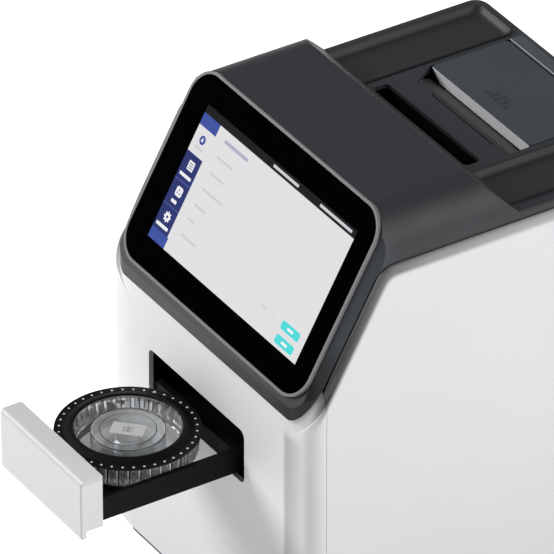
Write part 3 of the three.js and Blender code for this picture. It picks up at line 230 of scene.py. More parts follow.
# Printed marks and label of the rotor
PRINT_THICKNESS = 0.05
DOT_PLANE = 145.76
DOT_CIRCLE = 38.9
DOT_RADIUS = 0.68
DOT_STEPS = 12
MARK_ANGLE = math.radians(126)
MARK_SIDES = 3
FOIL_TOP = 145.1
LABEL_SIZE = (19.4, 11.4)
LABEL_ROUND = 0.6
LABEL_TURN = math.radians(44)
LABEL_LIFT = 0.01
LABEL_THICKNESS = 0.12
CODE_LIFT = 0.13
CODE_THICKNESS = 0.03
CODE_CELLS = 9
CODE_PITCH = 0.62
CODE_FILL = 0.9

# Pale plate on the floor of the drawer's well, with a glow of painted light
TRAY_FLOOR = 128.0
TRAY_LEFT = -51.2
TRAY_RIGHT = 29.2
TRAY_WELL_REAR = -2.0
MOTOR_HOLE_R = 16.0
PLATE_R = 30.0
PLATE_EDGE = 0.4
PLATE_TURN = 12.0
PLATE_STEPS = 96
PLATE_LIFT = 0.02
PLATE_THICKNESS = 0.25
PLATE_PAINTED_GLOW = 0.27

# Deck: sloped liners of its two trays, with levels of (inset, height)
DECK_TOP = 288.5
DECK_TRAYS = {"left": (-92.4, -55.6), "right": (55.6, 92.4)}
DECK_TRAY_ENDS = (118.8, 242.0)
DECK_TRAY_LEVELS = ((0.1, 288.45), (0.8, 287.2), (1.9, 285.6), (3.4, 284.75), (5.0, 284.56))
DECK_TRAY_R = 5.0
DECK_TRAY_R_STEPS = 4
INSET_PER_RADIUS = 3
LINER_THICKNESS = 0.03
LINER_SHARP = math.radians(50)

# Black sheet of painted shade over the grip slot, on the rear slope of the hood
GRIP_FOOT = 139.5
GRIP_HALF = 48.0
GRIP_RISE = 15.0
GRIP_ROUND = 2.0
GRIP_THICKNESS = 0.05

# Strips behind the joint of cover and side panels
SEAL_X = 99.6
SEAL_SPAN = (82.0, 238.0)
SEAL_LEVELS = (271.0, 284.5)
SEAL_THICKNESS = 0.3

# Printer lid and rear strip
LID_FRONT = 182.0
LID_TOP = 288.8
LIP_BOTTOM = 280.9
LIP_HALF = 49.8
LIP_TAPER = 7.9
LIP_EDGE = 0.3
LIP_THICKNESS = 0.15
PRINT_LIFT = 0.01
ICON_PLACE = (0.0, 191.3)
ICON_BARS = ((-9.6, 3.4), (-4.8, 7.0), (0.0, 8.6), (4.8, 7.0), (9.6, 3.4))
ICON_BAR_HALF = 1.5
ICON_ROUND = 0.6
# Painted highlight along the strip's front edge: its span front to rear
STRIP_EDGE = (235.05, 235.6)
STRIP_EDGE_THICKNESS = 0.06

ROUND_STEPS = 5
DISC_STEPS = 32
TINY = 1e-6


# Materials

def shader_of(material):
    return next(n for n in material.node_tree.nodes if n.type == "BSDF_PRINCIPLED")


def new_node(material, kind):
    return material.node_tree.nodes.new("ShaderNode" + kind)


def connect(material, output, socket):
    material.node_tree.links.new(output, socket)


def object_coordinates(material):
    return new_node(material, "TexCoord").outputs["Object"]


def object_axes(material):
    """The sockets X, Y and Z of the object coordinates."""
    split = new_node(material, "SeparateXYZ")
    connect(material, object_coordinates(material), split.inputs["Vector"])
    return split.outputs


def math_node(material, operation, *values):
    node = new_node(material, "Math")
    node.operation = operation
    for socket, value in zip(node.inputs, values):
        if isinstance(value, (int, float)):
            socket.default_value = value
        else:
            connect(material, value, socket)
    return node.outputs["Value"]


def soft_step(material, value, low, high):
    """Rises smoothly from 0 to 1 while the value, in metres, goes from low to high."""
    node = new_node(material, "MapRange")
    node.interpolation_type = "SMOOTHSTEP"
    node.inputs["From Min"].default_value = low
    node.inputs["From Max"].default_value = high
    connect(material, value, node.inputs["Value"])
    return node.outputs["Result"]


def new_material(name, color, roughness, metallic=0.0):
    material = bpy.data.materials.new(name)
    material.use_nodes = True
    shader = shader_of(material)
    shader.inputs["Base Color"].default_value = (*color, 1)
    shader.inputs["Roughness"].default_value = roughness
    shader.inputs["Metallic"].default_value = metallic
    return material


def noise_over(material, coordinates, scale, detail):
    noise = new_node(material, "TexNoise")
    noise.inputs["Scale"].default_value = scale
    noise.inputs["Detail"].default_value = detail
    connect(material, coordinates, noise.inputs["Vector"])
    return noise.outputs["Fac"]


def vary_color(material, color, share):
    """Lets the base colour drift by a small share over the surface."""
    ramp = new_node(material, "ValToRGB")
    for element, position, side in zip(ramp.color_ramp.elements, DRIFT_RAMP, (-share, share)):
        element.position = position
        element.color = (*(c * (1 + side) for c in color), 1)
    noise = noise_over(material, object_coordinates(material), DRIFT_SCALE, DRIFT_DETAIL)
    connect(material, noise, ramp.inputs["Fac"])
    connect(material, ramp.outputs["Color"], shader_of(material).inputs["Base Color"])


def vary_roughness(material, noise, low, high):
    spread = new_node(material, "MapRange")
    spread.inputs["To Min"].default_value = low
    spread.inputs["To Max"].default_value = high
    connect(material, noise, spread.inputs["Value"])
    connect(material, spread.outputs["Result"], shader_of(material).inputs["Roughness"])


def add_bump(material, noise, height):
    bump = new_node(material, "Bump")
    bump.inputs["Strength"].default_value = 1.0
    bump.inputs["Distance"].default_value = height * MM
    connect(material, noise, bump.inputs["Height"])
    connect(material, bump.outputs["Normal"], shader_of(material).inputs["Normal"])


def add_grain(material, scale, height):
    """Fine moulded texture as a bump of the given height."""
    noise = noise_over(material, object_coordinates(material), scale, GRAIN_DETAIL)
    add_bump(material, noise, height)


def moulded(name, color, roughness, grain_scale=900, grain=0.02, share=0.02, gloss=0.5):
    """Plastic, paper or board: a fine grain, and a slight drift of colour and gloss."""
    material = new_material(name, color, roughness)
    shader_of(material).inputs["Specular IOR Level"].default_value = gloss
    vary_color(material, color, share)
    noise = noise_over(material, object_coordinates(material), GLOSS_SCALE, GLOSS_DETAIL)
    vary_roughness(material, noise, roughness - GLOSS_SPREAD, roughness + GLOSS_SPREAD)
    add_grain(material, grain_scale, grain)
    return material


def brushed(name, color, roughness, stretch):
    """Metal with fine lines along one axis."""
    material = new_material(name, color, roughness, 1.0)
    mapping = new_node(material, "Mapping")
    mapping.inputs["Scale"].default_value = stretch
    connect(material, object_coordinates(material), mapping.inputs["Vector"])
    noise = noise_over(material, mapping.outputs["Vector"], BRUSH_SCALE, BRUSH_DETAIL)
    vary_roughness(material, noise, *(roughness * share for share in BRUSH_SPREAD))
    add_bump(material, noise, BRUSH_DEPTH)
    return material


def lit(name, color):
    """A lit patch of the display, which also shines a little like glass."""
    material = new_material(name, (0, 0, 0), LIT_ROUGHNESS)
    shader = shader_of(material)
    shader.inputs["Emission Color"].default_value = (*color, 1)
    shader.inputs["Emission Strength"].default_value = 1.0
    shader.inputs["Specular IOR Level"].default_value = LIT_GLOSS
    return material


def linear(r, g, b):
    """Linear colour from 0 to 255 picture values."""
    def one(value):
        share = value / 255
        return share / 12.92 if share <= 0.04045 else ((share + 0.055) / 1.055) ** 2.4
    return tuple(one(value) for value in (r, g, b))


def mix_into_base(material, factor, blend_type):
    """Puts a mix node before the base colour and returns the socket of its second colour."""
    mix = new_node(material, "Mix")
    mix.data_type = "RGBA"
    mix.blend_type = blend_type
    base = shader_of(material).inputs["Base Color"]
    first, second = (socket for socket in mix.inputs if socket.type == "RGBA")
    connect(material, base.links[0].from_socket, first)
    connect(material, factor, mix.inputs["Factor"])
    connect(material, next(socket for socket in mix.outputs if socket.type == "RGBA"), base)
    return second


def tone_where(material, tone, bands):
    """Multiplies the base colour by a tone where every band applies: painted shade where the tone is below
    1, painted light where it is above.
    """
    axes = object_axes(material)
    mask = None
    for axis, *ends in bands:
        start = FRONT_FACE_Y if axis == "Y" else 0
        fade = soft_step(material, axes[axis], *(start + end * MM for end in ends))
        mask = math_node(material, "MULTIPLY", mask, fade) if mask else fade
    mix_into_base(material, mask, "MULTIPLY").default_value = (tone, tone, tone, 1)


def joint_edge_mask(material, axes):
    """Mask of the painted shade: 1 along the joint of hood and side panel, on the two flanks only, fading
    to 0 around it.
    """
    def step(value, ends):
        return soft_step(material, value, *(end * MM for end in ends))

    sine, cosine = math.sin(SCREEN_TILT), math.cos(SCREEN_TILT)
    level = cosine * SCREEN_CENTRE.z - sine * SCREEN_CENTRE.y - JOINT_DEPTH * MM
    rearward = math_node(material, "MULTIPLY", axes["Y"], sine)
    downward = math_node(material, "MULTIPLY", axes["Z"], -cosine)
    across = math_node(material, "ADD", rearward, downward)
    behind = math_node(material, "ADD", across, level)
    below = math_node(material, "SUBTRACT", JOINT_TOP * MM, axes["Z"])
    inside = math_node(material, "SMOOTH_MIN", behind, below, JOINT_ROUND * MM)
    shade = math_node(material, "SUBTRACT", 1.0, step(inside, EDGE_SHADE))
    behind_front = step(math_node(material, "SUBTRACT", axes["Y"], FRONT_FACE_Y), EDGE_START)
    on_flank = step(math_node(material, "ABSOLUTE", axes["X"]), EDGE_SIDE)
    flank = math_node(material, "MULTIPLY", on_flank, behind_front)
    return math_node(material, "MULTIPLY", shade, flank)


def shade_joint_edge(material):
    """Paints shade on the white shell: greys it in a soft band along its joint with the hood, less so
    toward the rear.
    """
    axes = object_axes(material)
    ramp = new_node(material, "ValToRGB")
    elements = ramp.color_ramp.elements
    for position, _ in EDGE_TONES[len(elements):]:
        elements.new(position)
    for element, (position, value) in zip(elements, EDGE_TONES):
        element.position = position
        element.color = (*(value * tint for tint in EDGE_TINT), 1)
    from_front = math_node(material, "SUBTRACT", axes["Y"], FRONT_FACE_Y)
    connect(material, math_node(material, "DIVIDE", from_front, EDGE_REACH * MM), ramp.inputs["Fac"])
    second = mix_into_base(material, joint_edge_mask(material, axes), "MIX")
    connect(material, ramp.outputs["Color"], second)


def black_glass():
    material = new_material("black_glass", GLASS_COLOR, GLASS_ROUGHNESS)
    shader_of(material).inputs["Specular IOR Level"].default_value = GLASS_GLOSS
    return material


def clear_plastic():
    material = new_material("clear_plastic", linear(240, 242, 243), CLEAR_ROUGHNESS)
    shader = shader_of(material)
    shader.inputs["Transmission Weight"].default_value = CLEAR_TRANSMISSION
    shader.inputs["IOR"].default_value = CLEAR_IOR
    add_grain(material, CLEAR_GRAIN_SCALE, CLEAR_GRAIN)
    return material


WHITE = moulded("white_shell", linear(228, 228, 230), 0.45, grain=SHELL_GRAIN, share=0.006)
# White shell with painted shade along its joint with the hood and on its right front corner
EDGED = moulded("white_with_painted_shade", linear(228, 228, 230), 0.45, grain=SHELL_GRAIN, share=0.006)
shade_joint_edge(EDGED)
# Painted shade on the right front corner of the white shell
tone_where(EDGED, *CORNER_FOLD_SHADE)
DRAWER_WHITE = moulded("drawer_white", linear(236, 236, 238), 0.45, grain=SHELL_GRAIN, share=0.006)
# Painted shade on the face and top of the drawer front
tone_where(DRAWER_WHITE, *DRAWER_FACE_SHADE)
tone_where(DRAWER_WHITE, *DRAWER_TOP_SHADE)
DARK = moulded("dark_cover", linear(46, 48, 51), 0.5, grain_scale=700, grain=COVER_GRAIN, share=0.05)
COVER = moulded("top_cover", linear(45, 48, 52), 0.5, grain_scale=700, grain=COVER_GRAIN, share=0.05)
# Painted shade on the lower right front of the hood
tone_where(COVER, *HOOD_CORNER_SHADE)
# Painted light on the hood's right flank
tone_where(COVER, *HOOD_FLANK_LIGHT)
TRAY_DARK = moulded("deck_tray", linear(38, 40, 43), 0.55, grain_scale=700, grain=COVER_GRAIN, share=0.05)
RIM = moulded("bezel_grey", linear(118, 119, 121), 0.38)
BLACK = moulded("black_plastic", linear(20, 20, 22), 0.4, share=0.08)
SOOT = moulded("matt_black", linear(11, 11, 12), 0.5, share=0.08, gloss=0.12)
GLASS = black_glass()
LID = moulded("lid_smoke", linear(66, 70, 75), 0.35, grain_scale=300, grain=LID_GRAIN, share=0.04)
STRIP = moulded("strip_smoke", linear(76, 83, 86), 0.35, grain_scale=300, grain=LID_GRAIN, share=0.04)
RUBBER = moulded("rubber", linear(28, 28, 29), 0.8, share=0.1)
STEEL = brushed("steel", linear(170, 172, 175), 0.35, (1, 40, 1))
ALUMINIUM = brushed("aluminium", linear(205, 207, 210), 0.3, (30, 1, 1))
BOARD = moulded("circuit_board", linear(24, 84, 56), 0.5, share=0.1)
PAPER = moulded("paper", linear(240, 238, 232), 0.9, grain_scale=500, grain=PAPER_GRAIN)
CLEAR = clear_plastic()

NODE_MATERIALS = {
    WHITE: ["rear_panel"],
    DRAWER_WHITE: ["drawer_front"],
    EDGED: ["front_shell", "side_panel_left", "side_panel_right"],
    DARK: ["base_tray", "printer_frame"],
    COVER: ["top_cover"],
    RIM: ["screen_bezel"],
    GLASS: ["screen_glass"],
    BLACK: ["power_inlet", "switch_frame", "power_rocker", "fan_frame", "fan_rotor", "detector_module"],
    SOOT: [
        "drawer_bezel", "drawer_tray", "drawer_rack", "rotor_ring", "incubator_cover", "grip_recess",
        "rail_left", "rail_right",
    ],
    CLEAR: ["cuvette_disc"],
    LID: ["printer_lid"],
    STRIP: ["printer_strip"],
    RUBBER: ["foot_front_left", "foot_front_right", "foot_rear_left", "foot_rear_right", "platen_roller"],
    STEEL: [
        "display_module", "chassis", "drawer_deck", "spindle_motor", "drawer_motor", "lamp_module",
        "power_supply", "usb_socket", "network_socket", "fan_grille", "lid_hinge_pin", "print_head",
    ],
    ALUMINIUM: ["drive_pinion", "rotor_hub"],
    BOARD: ["display_board", "main_board"],
    PAPER: ["paper_roll"],
}


def dress_nodes():
    for material, names in NODE_MATERIALS.items():
        for name in names:
            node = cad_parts[name]
            node.data.materials.clear()
            node.data.materials.append(material)


# Meshes

def add_piece(name, mesh, material, body):
    piece = bpy.data.objects.new(name, mesh)
    bpy.context.scene.collection.objects.link(piece)
    mesh.materials.append(material)
    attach(piece, body)
    return piece


def on_body(x, y, z):
    """A point given from the foot of the front face's middle, in the frame."""
    return Vector((x * MM, y * MM + FRONT_FACE_Y, z * MM))


def raised(height):
    return Matrix.Translation((0, 0, height * MM))


def basis(x_axis, y_axis, origin):
    z_axis = x_axis.cross(y_axis)
    matrix = Matrix((x_axis, y_axis, z_axis)).transposed().to_4x4()
    matrix.translation = origin
    return matrix


def join_rings(work, lower, upper):
    """Faces between two closed rings of equally many points."""
    count = len(lower)
    for i in range(count):
        j = (i + 1) % count
        work.faces.new((lower[i], lower[j], upper[j], upper[i]))


def smooth_faces(work):
    bmesh.ops.recalc_face_normals(work, faces=work.faces)
    for face in work.faces:
        face.smooth = True


def finished_mesh(name, work, to_frame):
    """A mesh in the frame, from work given along the axes of to_frame."""
    bmesh.ops.scale(work, vec=(MM, MM, MM), verts=work.verts)
    bmesh.ops.transform(work, matrix=to_frame, verts=work.verts)
    mesh = bpy.data.meshes.new(name)
    work.to_mesh(mesh)
    work.free()
    return mesh


def plate_mesh(name, outlines, thickness, to_frame):
    """Flat plates of one thickness on the plane of to_frame."""
    work = bmesh.new()
    for outline in outlines:
        bottom = [work.verts.new((u, v, 0)) for u, v in outline]
        top = [work.verts.new((u, v, thickness)) for u, v in outline]
        work.faces.new(list(reversed(bottom)))
        work.faces.new(top)
        join_rings(work, bottom, top)
    return finished_mesh(name, work, to_frame)


def turned_mesh(name, profile, to_frame):
    """Body turned about the z axis of to_frame from a closed outline of (radius, height)."""
    work = bmesh.new()
    columns = []
    for i in range(TURN_STEPS):
        angle = 2 * math.pi * i / TURN_STEPS
        columns.append([work.verts.new((r * math.cos(angle), r * math.sin(angle), z)) for r, z in profile])
    for i in range(TURN_STEPS):
        here, there = columns[i], columns[(i + 1) % TURN_STEPS]
        for k in range(len(profile)):
            after = (k + 1) % len(profile)
            work.faces.new((here[k], there[k], there[after], here[after]))
    smooth_faces(work)
    mesh = finished_mesh(name, work, to_frame)
    mesh.set_sharp_from_angle(angle=TURN_SHARP)
    return mesh


def rectangle(u0, u1, v0, v1, radius=0.0, steps=ROUND_STEPS):
    """Outline of a box, with round corners where a radius is given."""
    if not radius:
        return [(u0, v0), (u1, v0), (u1, v1), (u0, v1)]
    points = []
    corners = ((u1, v0, -90), (u1, v1, 0), (u0, v1, 90), (u0, v0, 180))
    for u, v, start in corners:
        cu = u - math.copysign(radius, u - u0 - TINY)
        cv = v - math.copysign(radius, v - v0 - TINY)
        for i in range(steps + 1):
            angle = math.radians(start + 90 * i / steps)
            points.append((cu + radius * math.cos(angle), cv + radius * math.sin(angle)))
    return points


def rectangles(places, radius):
    return [rectangle(*place, radius) for place in places]


def arc(u, v, radii, angles):
    """Points round a centre, each at its own radius and angle."""
    return [(u + r * math.cos(a), v + r * math.sin(a)) for r, a in zip(radii, angles)]


def disc(u, v, radius, steps=DISC_STEPS, start=0.0):
    return arc(u, v, [radius] * steps, [start + 2 * math.pi * i / steps for i in range(steps)])


# Screen picture, drawn from plain shapes that lie on the glass

PAGE = lit("screen_page", linear(224, 224, 226))
STATUS = lit("screen_status", linear(22, 22, 26))
BLUE = lit("screen_blue", linear(63, 81, 160))
NAVY = lit("screen_navy", linear(43, 53, 112))
LINE = lit("screen_line", linear(84, 96, 160))
CYAN = lit("screen_cyan", linear(80, 218, 218))
ICON = lit("screen_icon", linear(240, 240, 244))
FAINT = lit("screen_faint", linear(206, 206, 210))
HEADING = lit("screen_heading", linear(176, 178, 196))


def screen_layer(name, outlines, material, layer):
    right, up = PICTURE_SHIFT
    lift = GLASS_PROUD + PICTURE_LIFT + layer * PICTURE_STEP
    centre = SCREEN_CENTRE + (X_AXIS * right + SCREEN_UP * up + SCREEN_OUT * lift) * MM
    mesh = plate_mesh(name, outlines, PICTURE_STEP / 2, basis(X_AXIS, SCREEN_UP, centre))
    add_piece(name, mesh, material, "housing")


def gear_outline():
    radii, angles = [], []
    for i in range(GEAR_TEETH):
        for share, which in GEAR_TOOTH:
            radii.append(GEAR_RADII[which])
            angles.append(2 * math.pi * (i + share) / GEAR_TEETH)
    return arc(*GEAR_PLACE, radii, angles)


def draw_sidebar():
    left = -DISPLAY_HALF_WIDTH
    blocks = [
        rectangle(left, SIDEBAR_BLOCK_RIGHT, TAB_TOP, STATUS_BOTTOM),
        rectangle(left, SIDEBAR_BLOCK_RIGHT, DISPLAY_BOTTOM, NAVY_BOTTOM),
    ]
    screen_layer("screen_blocks", blocks, BLUE, 1)
    screen_layer("screen_tabs", [rectangle(left, SIDEBAR_RIGHT, NAVY_BOTTOM, NAVY_TOP)], NAVY, 1)
    lines = [rectangle(left, SIDEBAR_RIGHT, v - SEPARATOR_HALF, v + SEPARATOR_HALF) for v in SEPARATORS]
    screen_layer("screen_separators", lines, LINE, 2)


def draw_icons():
    icons = [rectangle(*SHEET_ICON, SHEET_ROUND), rectangle(*DOTS_ICON, DOTS_ROUND), gear_outline()]
    icons += rectangles(TAB_WORDS, WORD_ROUND)
    icons.append(ARROW)
    screen_layer("screen_icons", icons, ICON, 2)
    details = [rectangle(*SHEET_LINE_ENDS, v, v + SHEET_LINE_HEIGHT) for v in SHEET_LINES]
    details += [disc(*dot, DOTS_R, DOTS_STEPS) for dot in DOTS]
    details.append(disc(*GEAR_PLACE, GEAR_HOLE_R, GEAR_HOLE_STEPS))
    screen_layer("screen_icon_details", details, NAVY, 3)


def draw_screen():
    left, right = -DISPLAY_HALF_WIDTH, DISPLAY_HALF_WIDTH
    screen_layer("screen_page", [rectangle(left, right, DISPLAY_BOTTOM, STATUS_BOTTOM)], PAGE, 0)
    screen_layer("screen_status", [rectangle(left, right, STATUS_BOTTOM, DISPLAY_TOP)], STATUS, 0)
    draw_sidebar()
    screen_layer("screen_buttons", rectangles(BUTTONS, BUTTON_ROUND), CYAN, 1)
    screen_layer("screen_button_marks", rectangles(BUTTON_MARKS, BUTTON_MARK_ROUND), ICON, 2)
    screen_layer("screen_round", [disc(*ARROW_DISC)], BLUE, 1)
    draw_icons()
    rows = rectangles(ROW_WORDS, WORD_ROUND) + rectangles(SMALL_WORDS, SMALL_WORD_ROUND)
    rows.append(rectangle(*HOME_WORD, WORD_ROUND))
    screen_layer("screen_rows", rows, FAINT, 1)
    screen_layer("screen_title", [rectangle(*TITLE, TITLE_ROUND)], HEADING, 1)
    screen_layer("screen_status_marks", rectangles(STATUS_WORDS, WORD_ROUND), FAINT, 1)


# Rotor and drawer

def ring_of_bars(name, bars):
    """Upright bars on a circle round the rotor's axis, one for each cuvette."""
    outlines = []
    for i in range(CUVETTE_COUNT):
        angle = 2 * math.pi * (i + bars["turn"]) / CUVETTE_COUNT
        out = Vector((math.cos(angle), math.sin(angle)))
        along = Vector((-math.sin(angle), math.cos(angle)))
        corners = [
            out * (bars["circle"] + r * bars["depth"]) + along * (t * bars["width"] / 2)
            for r, t in ((0, -1), (1, -1), (1, 1), (0, 1))
        ]
        outlines.append([tuple(corner) for corner in corners])
    return plate_mesh(name, outlines, bars["top"] - bars["foot"], ROTOR_AXIS @ raised(bars["foot"]))


def draw_rotor():
    ring = turned_mesh("reagent_ring", RING_PROFILE, ROTOR_AXIS)
    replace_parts(add_piece("reagent_ring", ring, SOOT, "rotor"), "rotor_ring")
    for name, profile in CLEAR_PROFILES.items():
        add_piece(name, turned_mesh(name, profile, ROTOR_AXIS), CLEAR, "rotor")
    for name, profile in CUP_LINES.items():
        add_piece(name, turned_mesh(name, profile, ROTOR_AXIS), SOOT, "rotor")
    frosted = moulded("rib_frost", linear(225, 227, 228), 0.3)
    add_piece("cuvette_ribs", ring_of_bars("cuvette_ribs", RIBS), frosted, "rotor")
    add_piece("cuvette_gaps", ring_of_bars("cuvette_gaps", GAPS), SOOT, "rotor")
    add_piece("disc_lines", ring_of_bars("disc_lines", INNER_LINES), SOOT, "rotor")


def draw_rotor_marks():
    """A white dot on the ring for each cuvette, and a larger triangle for the first."""
    white = moulded("mark_white", linear(235, 235, 235), 0.6)
    outlines = []
    for i in range(CUVETTE_COUNT):
        angle = MARK_ANGLE + 2 * math.pi * i / CUVETTE_COUNT
        u, v = DOT_CIRCLE * math.cos(angle), DOT_CIRCLE * math.sin(angle)
        if i:
            outlines.append(disc(u, v, DOT_RADIUS, DOT_STEPS))
        else:
            outlines.append(disc(u, v, 2 * DOT_RADIUS, MARK_SIDES, angle))
    mesh = plate_mesh("rotor_marks", outlines, PRINT_THICKNESS, ROTOR_AXIS @ raised(DOT_PLANE))
    add_piece("rotor_marks", mesh, white, "rotor")


def code_cells():
    """Filled cells of a code that stands for no text, from a formula."""
    start = -CODE_CELLS * CODE_PITCH / 2
    side = CODE_FILL * CODE_PITCH
    cells = []
    for i in range(CODE_CELLS):
        for j in range(CODE_CELLS):
            if (i * i + 3 * j + i * j) % 5 < 3:
                u, v = start + i * CODE_PITCH, start + j * CODE_PITCH
                cells.append(rectangle(u, u + side, v, v + side))
    return cells


def draw_label():
    white = moulded("label_white", linear(204, 204, 205), 0.6)
    grey = moulded("label_grey", linear(120, 122, 124), 0.6)
    on_foil = ROTOR_AXIS @ Matrix.Rotation(LABEL_TURN, 4, "Z") @ raised(FOIL_TOP + LABEL_LIFT)
    half_u, half_v = (side / 2 for side in LABEL_SIZE)
    outline = rectangle(-half_u, half_u, -half_v, half_v, LABEL_ROUND)
    label = plate_mesh("disc_label", [outline], LABEL_THICKNESS, on_foil)
    add_piece("disc_label", label, white, "rotor")
    code = plate_mesh("disc_code", code_cells(), CODE_THICKNESS, on_foil @ raised(CODE_LIFT))
    add_piece("disc_code", code, grey, "rotor")


def tray_plate_outlines():
    """Quads of a ring round the spindle motor that widens to the well's full width behind it."""
    centre_u, centre_v = ROTOR_X / MM, (ROTOR_Y - FRONT_FACE_Y) / MM
    rear = TRAY_WELL_REAR - PLATE_EDGE - centre_v
    left, right = TRAY_LEFT + PLATE_EDGE - centre_u, TRAY_RIGHT - PLATE_EDGE - centre_u

    def reach(angle):
        u, v = math.cos(angle), math.sin(angle)
        if v * PLATE_R < PLATE_TURN:
            return PLATE_R
        limits = [rear / v]
        if u:
            limits.append((right if u > 0 else left) / u)
        return min(limits)

    quads = []
    for i in range(PLATE_STEPS):
        ends = [2 * math.pi * k / PLATE_STEPS for k in (i, i + 1)]
        radii = [reach(end) for end in ends]
        if PLATE_R in radii:
            radii = [reach(sum(ends) / 2)] * 2
        inner = arc(centre_u, centre_v, [MOTOR_HOLE_R] * 2, ends)
        outer = arc(centre_u, centre_v, radii, ends)
        quads.append((inner[0], outer[0], outer[1], inner[1]))
    return quads


def draw_tray_plate():
    """Pale plate on the drawer's floor, with a faint glow of painted light that keeps it light in the
    well's shade.
    """
    pale = moulded("tray_pale", linear(222, 222, 224), 0.5)
    shader = shader_of(pale)
    # Painted light: the plate glows faintly, though it is no lamp
    shader.inputs["Emission Color"].default_value = (1, 1, 1, 1)
    shader.inputs["Emission Strength"].default_value = PLATE_PAINTED_GLOW
    at_floor = Matrix.Translation(on_body(0, 0, TRAY_FLOOR + PLATE_LIFT))
    mesh = plate_mesh("tray_plate", tray_plate_outlines(), PLATE_THICKNESS, at_floor)
    add_piece("tray_plate", mesh, pale, "drawer")


# Printer lid, deck trays, grip and joint

def draw_lid_front():
    """Light face on the front of the lid's lip."""
    grey = moulded("lip_grey", linear(212, 214, 216), 0.4)
    on_lip = basis(X_AXIS, Z_AXIS, on_body(0, LID_FRONT, 0))
    outline = [
        (LIP_TAPER - LIP_HALF + LIP_EDGE, LIP_BOTTOM + LIP_EDGE),
        (LIP_HALF - LIP_EDGE, LIP_BOTTOM + LIP_EDGE),
        (LIP_HALF - LIP_EDGE, LID_TOP - LIP_EDGE),
        (-LIP_HALF + 2 * LIP_EDGE, LID_TOP - LIP_EDGE),
    ]
    mesh = plate_mesh("lid_front_face", [outline], LIP_THICKNESS, on_lip)
    add_piece("lid_front_face", mesh, grey, "lid")


def draw_lid_top():
    """Plain mark on the lid, and a painted highlight along the front edge of the strip behind it."""
    on_lid = Matrix.Translation(on_body(0, 0, LID_TOP + PRINT_LIFT))
    dark = moulded("lid_mark", linear(52, 55, 58), 0.5)
    u, v = ICON_PLACE
    places = [(u + du - ICON_BAR_HALF, u + du + ICON_BAR_HALF, v, v + length) for du, length in ICON_BARS]
    mark = plate_mesh("lid_mark", rectangles(places, ICON_ROUND), PRINT_THICKNESS, on_lid)
    add_piece("lid_mark", mark, dark, "lid")
    # Painted highlight: a light grey line where the strip's front edge catches the light
    light = moulded("strip_edge_highlight", linear(190, 193, 195), 0.35)
    line = rectangle(-LIP_HALF, LIP_HALF, *STRIP_EDGE)
    edge = plate_mesh("strip_edge", [line], STRIP_EDGE_THICKNESS, on_lid)
    add_piece("strip_edge", edge, light, "housing")


def liner_mesh(name, left, right):
    """Sloped liner of a deck tray, from its rim down to its floor, closed below."""
    work = bmesh.new()
    front, rear = DECK_TRAY_ENDS
    rings = []
    for inset, height in DECK_TRAY_LEVELS:
        radius = DECK_TRAY_R + inset / INSET_PER_RADIUS
        outline = rectangle(left + inset, right - inset, front, rear - inset, radius, DECK_TRAY_R_STEPS)
        rings.append([work.verts.new((u, v, height)) for u, v in outline])
    foot = DECK_TRAY_LEVELS[-1][1] - LINER_THICKNESS
    under = [work.verts.new((v.co.x, v.co.y, foot)) for v in rings[0]]
    for lower, upper in zip([under] + rings[:-1], rings):
        join_rings(work, lower, upper)
    work.faces.new(rings[-1])
    work.faces.new(list(reversed(under)))
    smooth_faces(work)
    mesh = finished_mesh(name, work, Matrix.Translation(on_body(0, 0, 0)))
    mesh.set_sharp_from_angle(angle=LINER_SHARP)
    return mesh


def draw_deck_liners():
    for side, ends in DECK_TRAYS.items():
        name = "deck_liner_" + side
        add_piece(name, liner_mesh(name, *ends), TRAY_DARK, "housing")


def draw_grip_edge():
    """Painted shade: a black sheet on the rear slope of the hood, over the grip slot, as dark as the
    slot's opening.
    """
    on_slope = basis(X_AXIS, (Y_AXIS - Z_AXIS).normalized(), on_body(0, GRIP_FOOT, DECK_TOP))
    recess = rectangle(-GRIP_HALF, GRIP_HALF, -GRIP_RISE, 0, GRIP_ROUND)
    mesh = plate_mesh("grip_edge", [recess], GRIP_THICKNESS, on_slope)
    add_piece("grip_edge", mesh, SOOT, "housing")


def draw_joint_seals():
    """Dark strips behind the joint of cover and side panels, so no light shows through it."""
    for side, x in (("left", -SEAL_X), ("right", SEAL_X)):
        name = "joint_seal_" + side
        upright = basis(Y_AXIS, Z_AXIS, on_body(x, 0, 0))
        mesh = plate_mesh(name, [rectangle(*SEAL_SPAN, *SEAL_LEVELS)], SEAL_THICKNESS, upright)
        add_piece(name, mesh, SOOT, "housing")


# Stage, light and camera

def area_light(name, position, size, power):
    data = bpy.data.lights.new(name, "AREA")
    data.shape = "SQUARE"
    data.size = size
    data.energy = power
    lamp = bpy.data.objects.new(name, data)
    lamp.location = position
    lamp.rotation_euler = (Vector(LIGHT_TARGET) - Vector(position)).to_track_quat("-Z", "Y").to_euler()
    bpy.context.scene.collection.objects.link(lamp)


def floor_material():
    """White to the camera; as a light it grows with the distance along one direction."""
    material = new_material("floor_white", FLOOR_GREY, FLOOR_ROUGHNESS)
    shader = shader_of(material)
    shader.inputs["Emission Color"].default_value = (1, 1, 1, 1)
    along = new_node(material, "VectorMath")
    along.operation = "DOT_PRODUCT"
    along.inputs[1].default_value = FLOOR_DIRECTION
    connect(material, object_coordinates(material), along.inputs[0])
    spread = new_node(material, "MapRange")
    spread.interpolation_type = "SMOOTHSTEP"
    for key, value in FLOOR_SPREAD.items():
        spread.inputs[key].default_value = value
    connect(material, math_node(material, "ABSOLUTE", along.outputs["Value"]), spread.inputs["Value"])
    seen = new_node(material, "LightPath").outputs["Is Camera Ray"]
    glow = math_node(material, "MAXIMUM", seen, spread.outputs["Result"])
    connect(material, glow, shader.inputs["Emission Strength"])
    return material


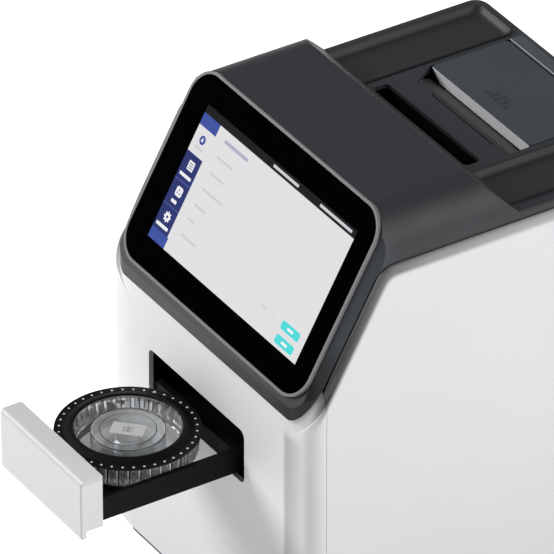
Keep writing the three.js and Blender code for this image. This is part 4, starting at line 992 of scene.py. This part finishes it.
def build_stage():
    mesh = bpy.data.meshes.new("floor")
    corners = ((-1, -1), (1, -1), (1, 1), (-1, 1))
    mesh.from_pydata([(x * FLOOR_HALF, y * FLOOR_HALF, 0) for x, y in corners], [], [(0, 1, 2, 3)])
    floor = bpy.data.objects.new("floor", mesh)
    bpy.context.scene.collection.objects.link(floor)
    mesh.materials.append(floor_material())


def build_world():
    """White where the camera sees it, and dim as a light."""
    world = bpy.data.worlds.new("studio")
    bpy.context.scene.world = world
    world.use_nodes = True
    nodes, links = world.node_tree.nodes, world.node_tree.links
    nodes.clear()
    output = nodes.new("ShaderNodeOutputWorld")
    mix = nodes.new("ShaderNodeMixShader")
    path = nodes.new("ShaderNodeLightPath")
    links.new(path.outputs["Is Camera Ray"], mix.inputs["Fac"])
    for socket, strength in zip(mix.inputs[1:], (AMBIENT, 1.0)):
        background = nodes.new("ShaderNodeBackground")
        background.inputs["Color"].default_value = (1, 1, 1, 1)
        background.inputs["Strength"].default_value = strength
        links.new(background.outputs["Background"], socket)
    links.new(mix.outputs["Shader"], output.inputs["Surface"])


def build_camera():
    data = bpy.data.cameras.new("camera")
    data.sensor_width = SENSOR_WIDTH
    data.lens = FOCAL_PIXELS / PICTURE * SENSOR_WIDTH
    data.clip_end = CAMERA_REACH
    camera = bpy.data.objects.new("camera", data)
    bpy.context.scene.collection.objects.link(camera)
    a, e = CAMERA_AZIMUTH, CAMERA_ELEVATION
    back = Vector((math.sin(a) * math.cos(e), -math.cos(a) * math.cos(e), math.sin(e)))
    right = Vector((math.cos(a), math.sin(a), 0))
    up = back.cross(right)
    aim_right, aim_down = ((pixel - PICTURE / 2) / FOCAL_PIXELS for pixel in AIM_PIXEL)
    aim = right * aim_right - up * aim_down
    matrix = Matrix((right, up, back)).transposed().to_4x4()
    matrix.translation = SCREEN_CENTRE + (back - aim) * CAMERA_DISTANCE
    camera.matrix_world = matrix
    bpy.context.scene.camera = camera


dress_nodes()
build_camera()
build_stage()
build_world()
for light in LIGHTS:
    area_light(*light)
draw_screen()
draw_rotor()
draw_tray_plate()
draw_lid_front()
draw_lid_top()
draw_deck_liners()
draw_grip_edge()
draw_joint_seals()
draw_rotor_marks()
draw_label()

bpy.context.scene.view_settings.view_transform = "Standard"
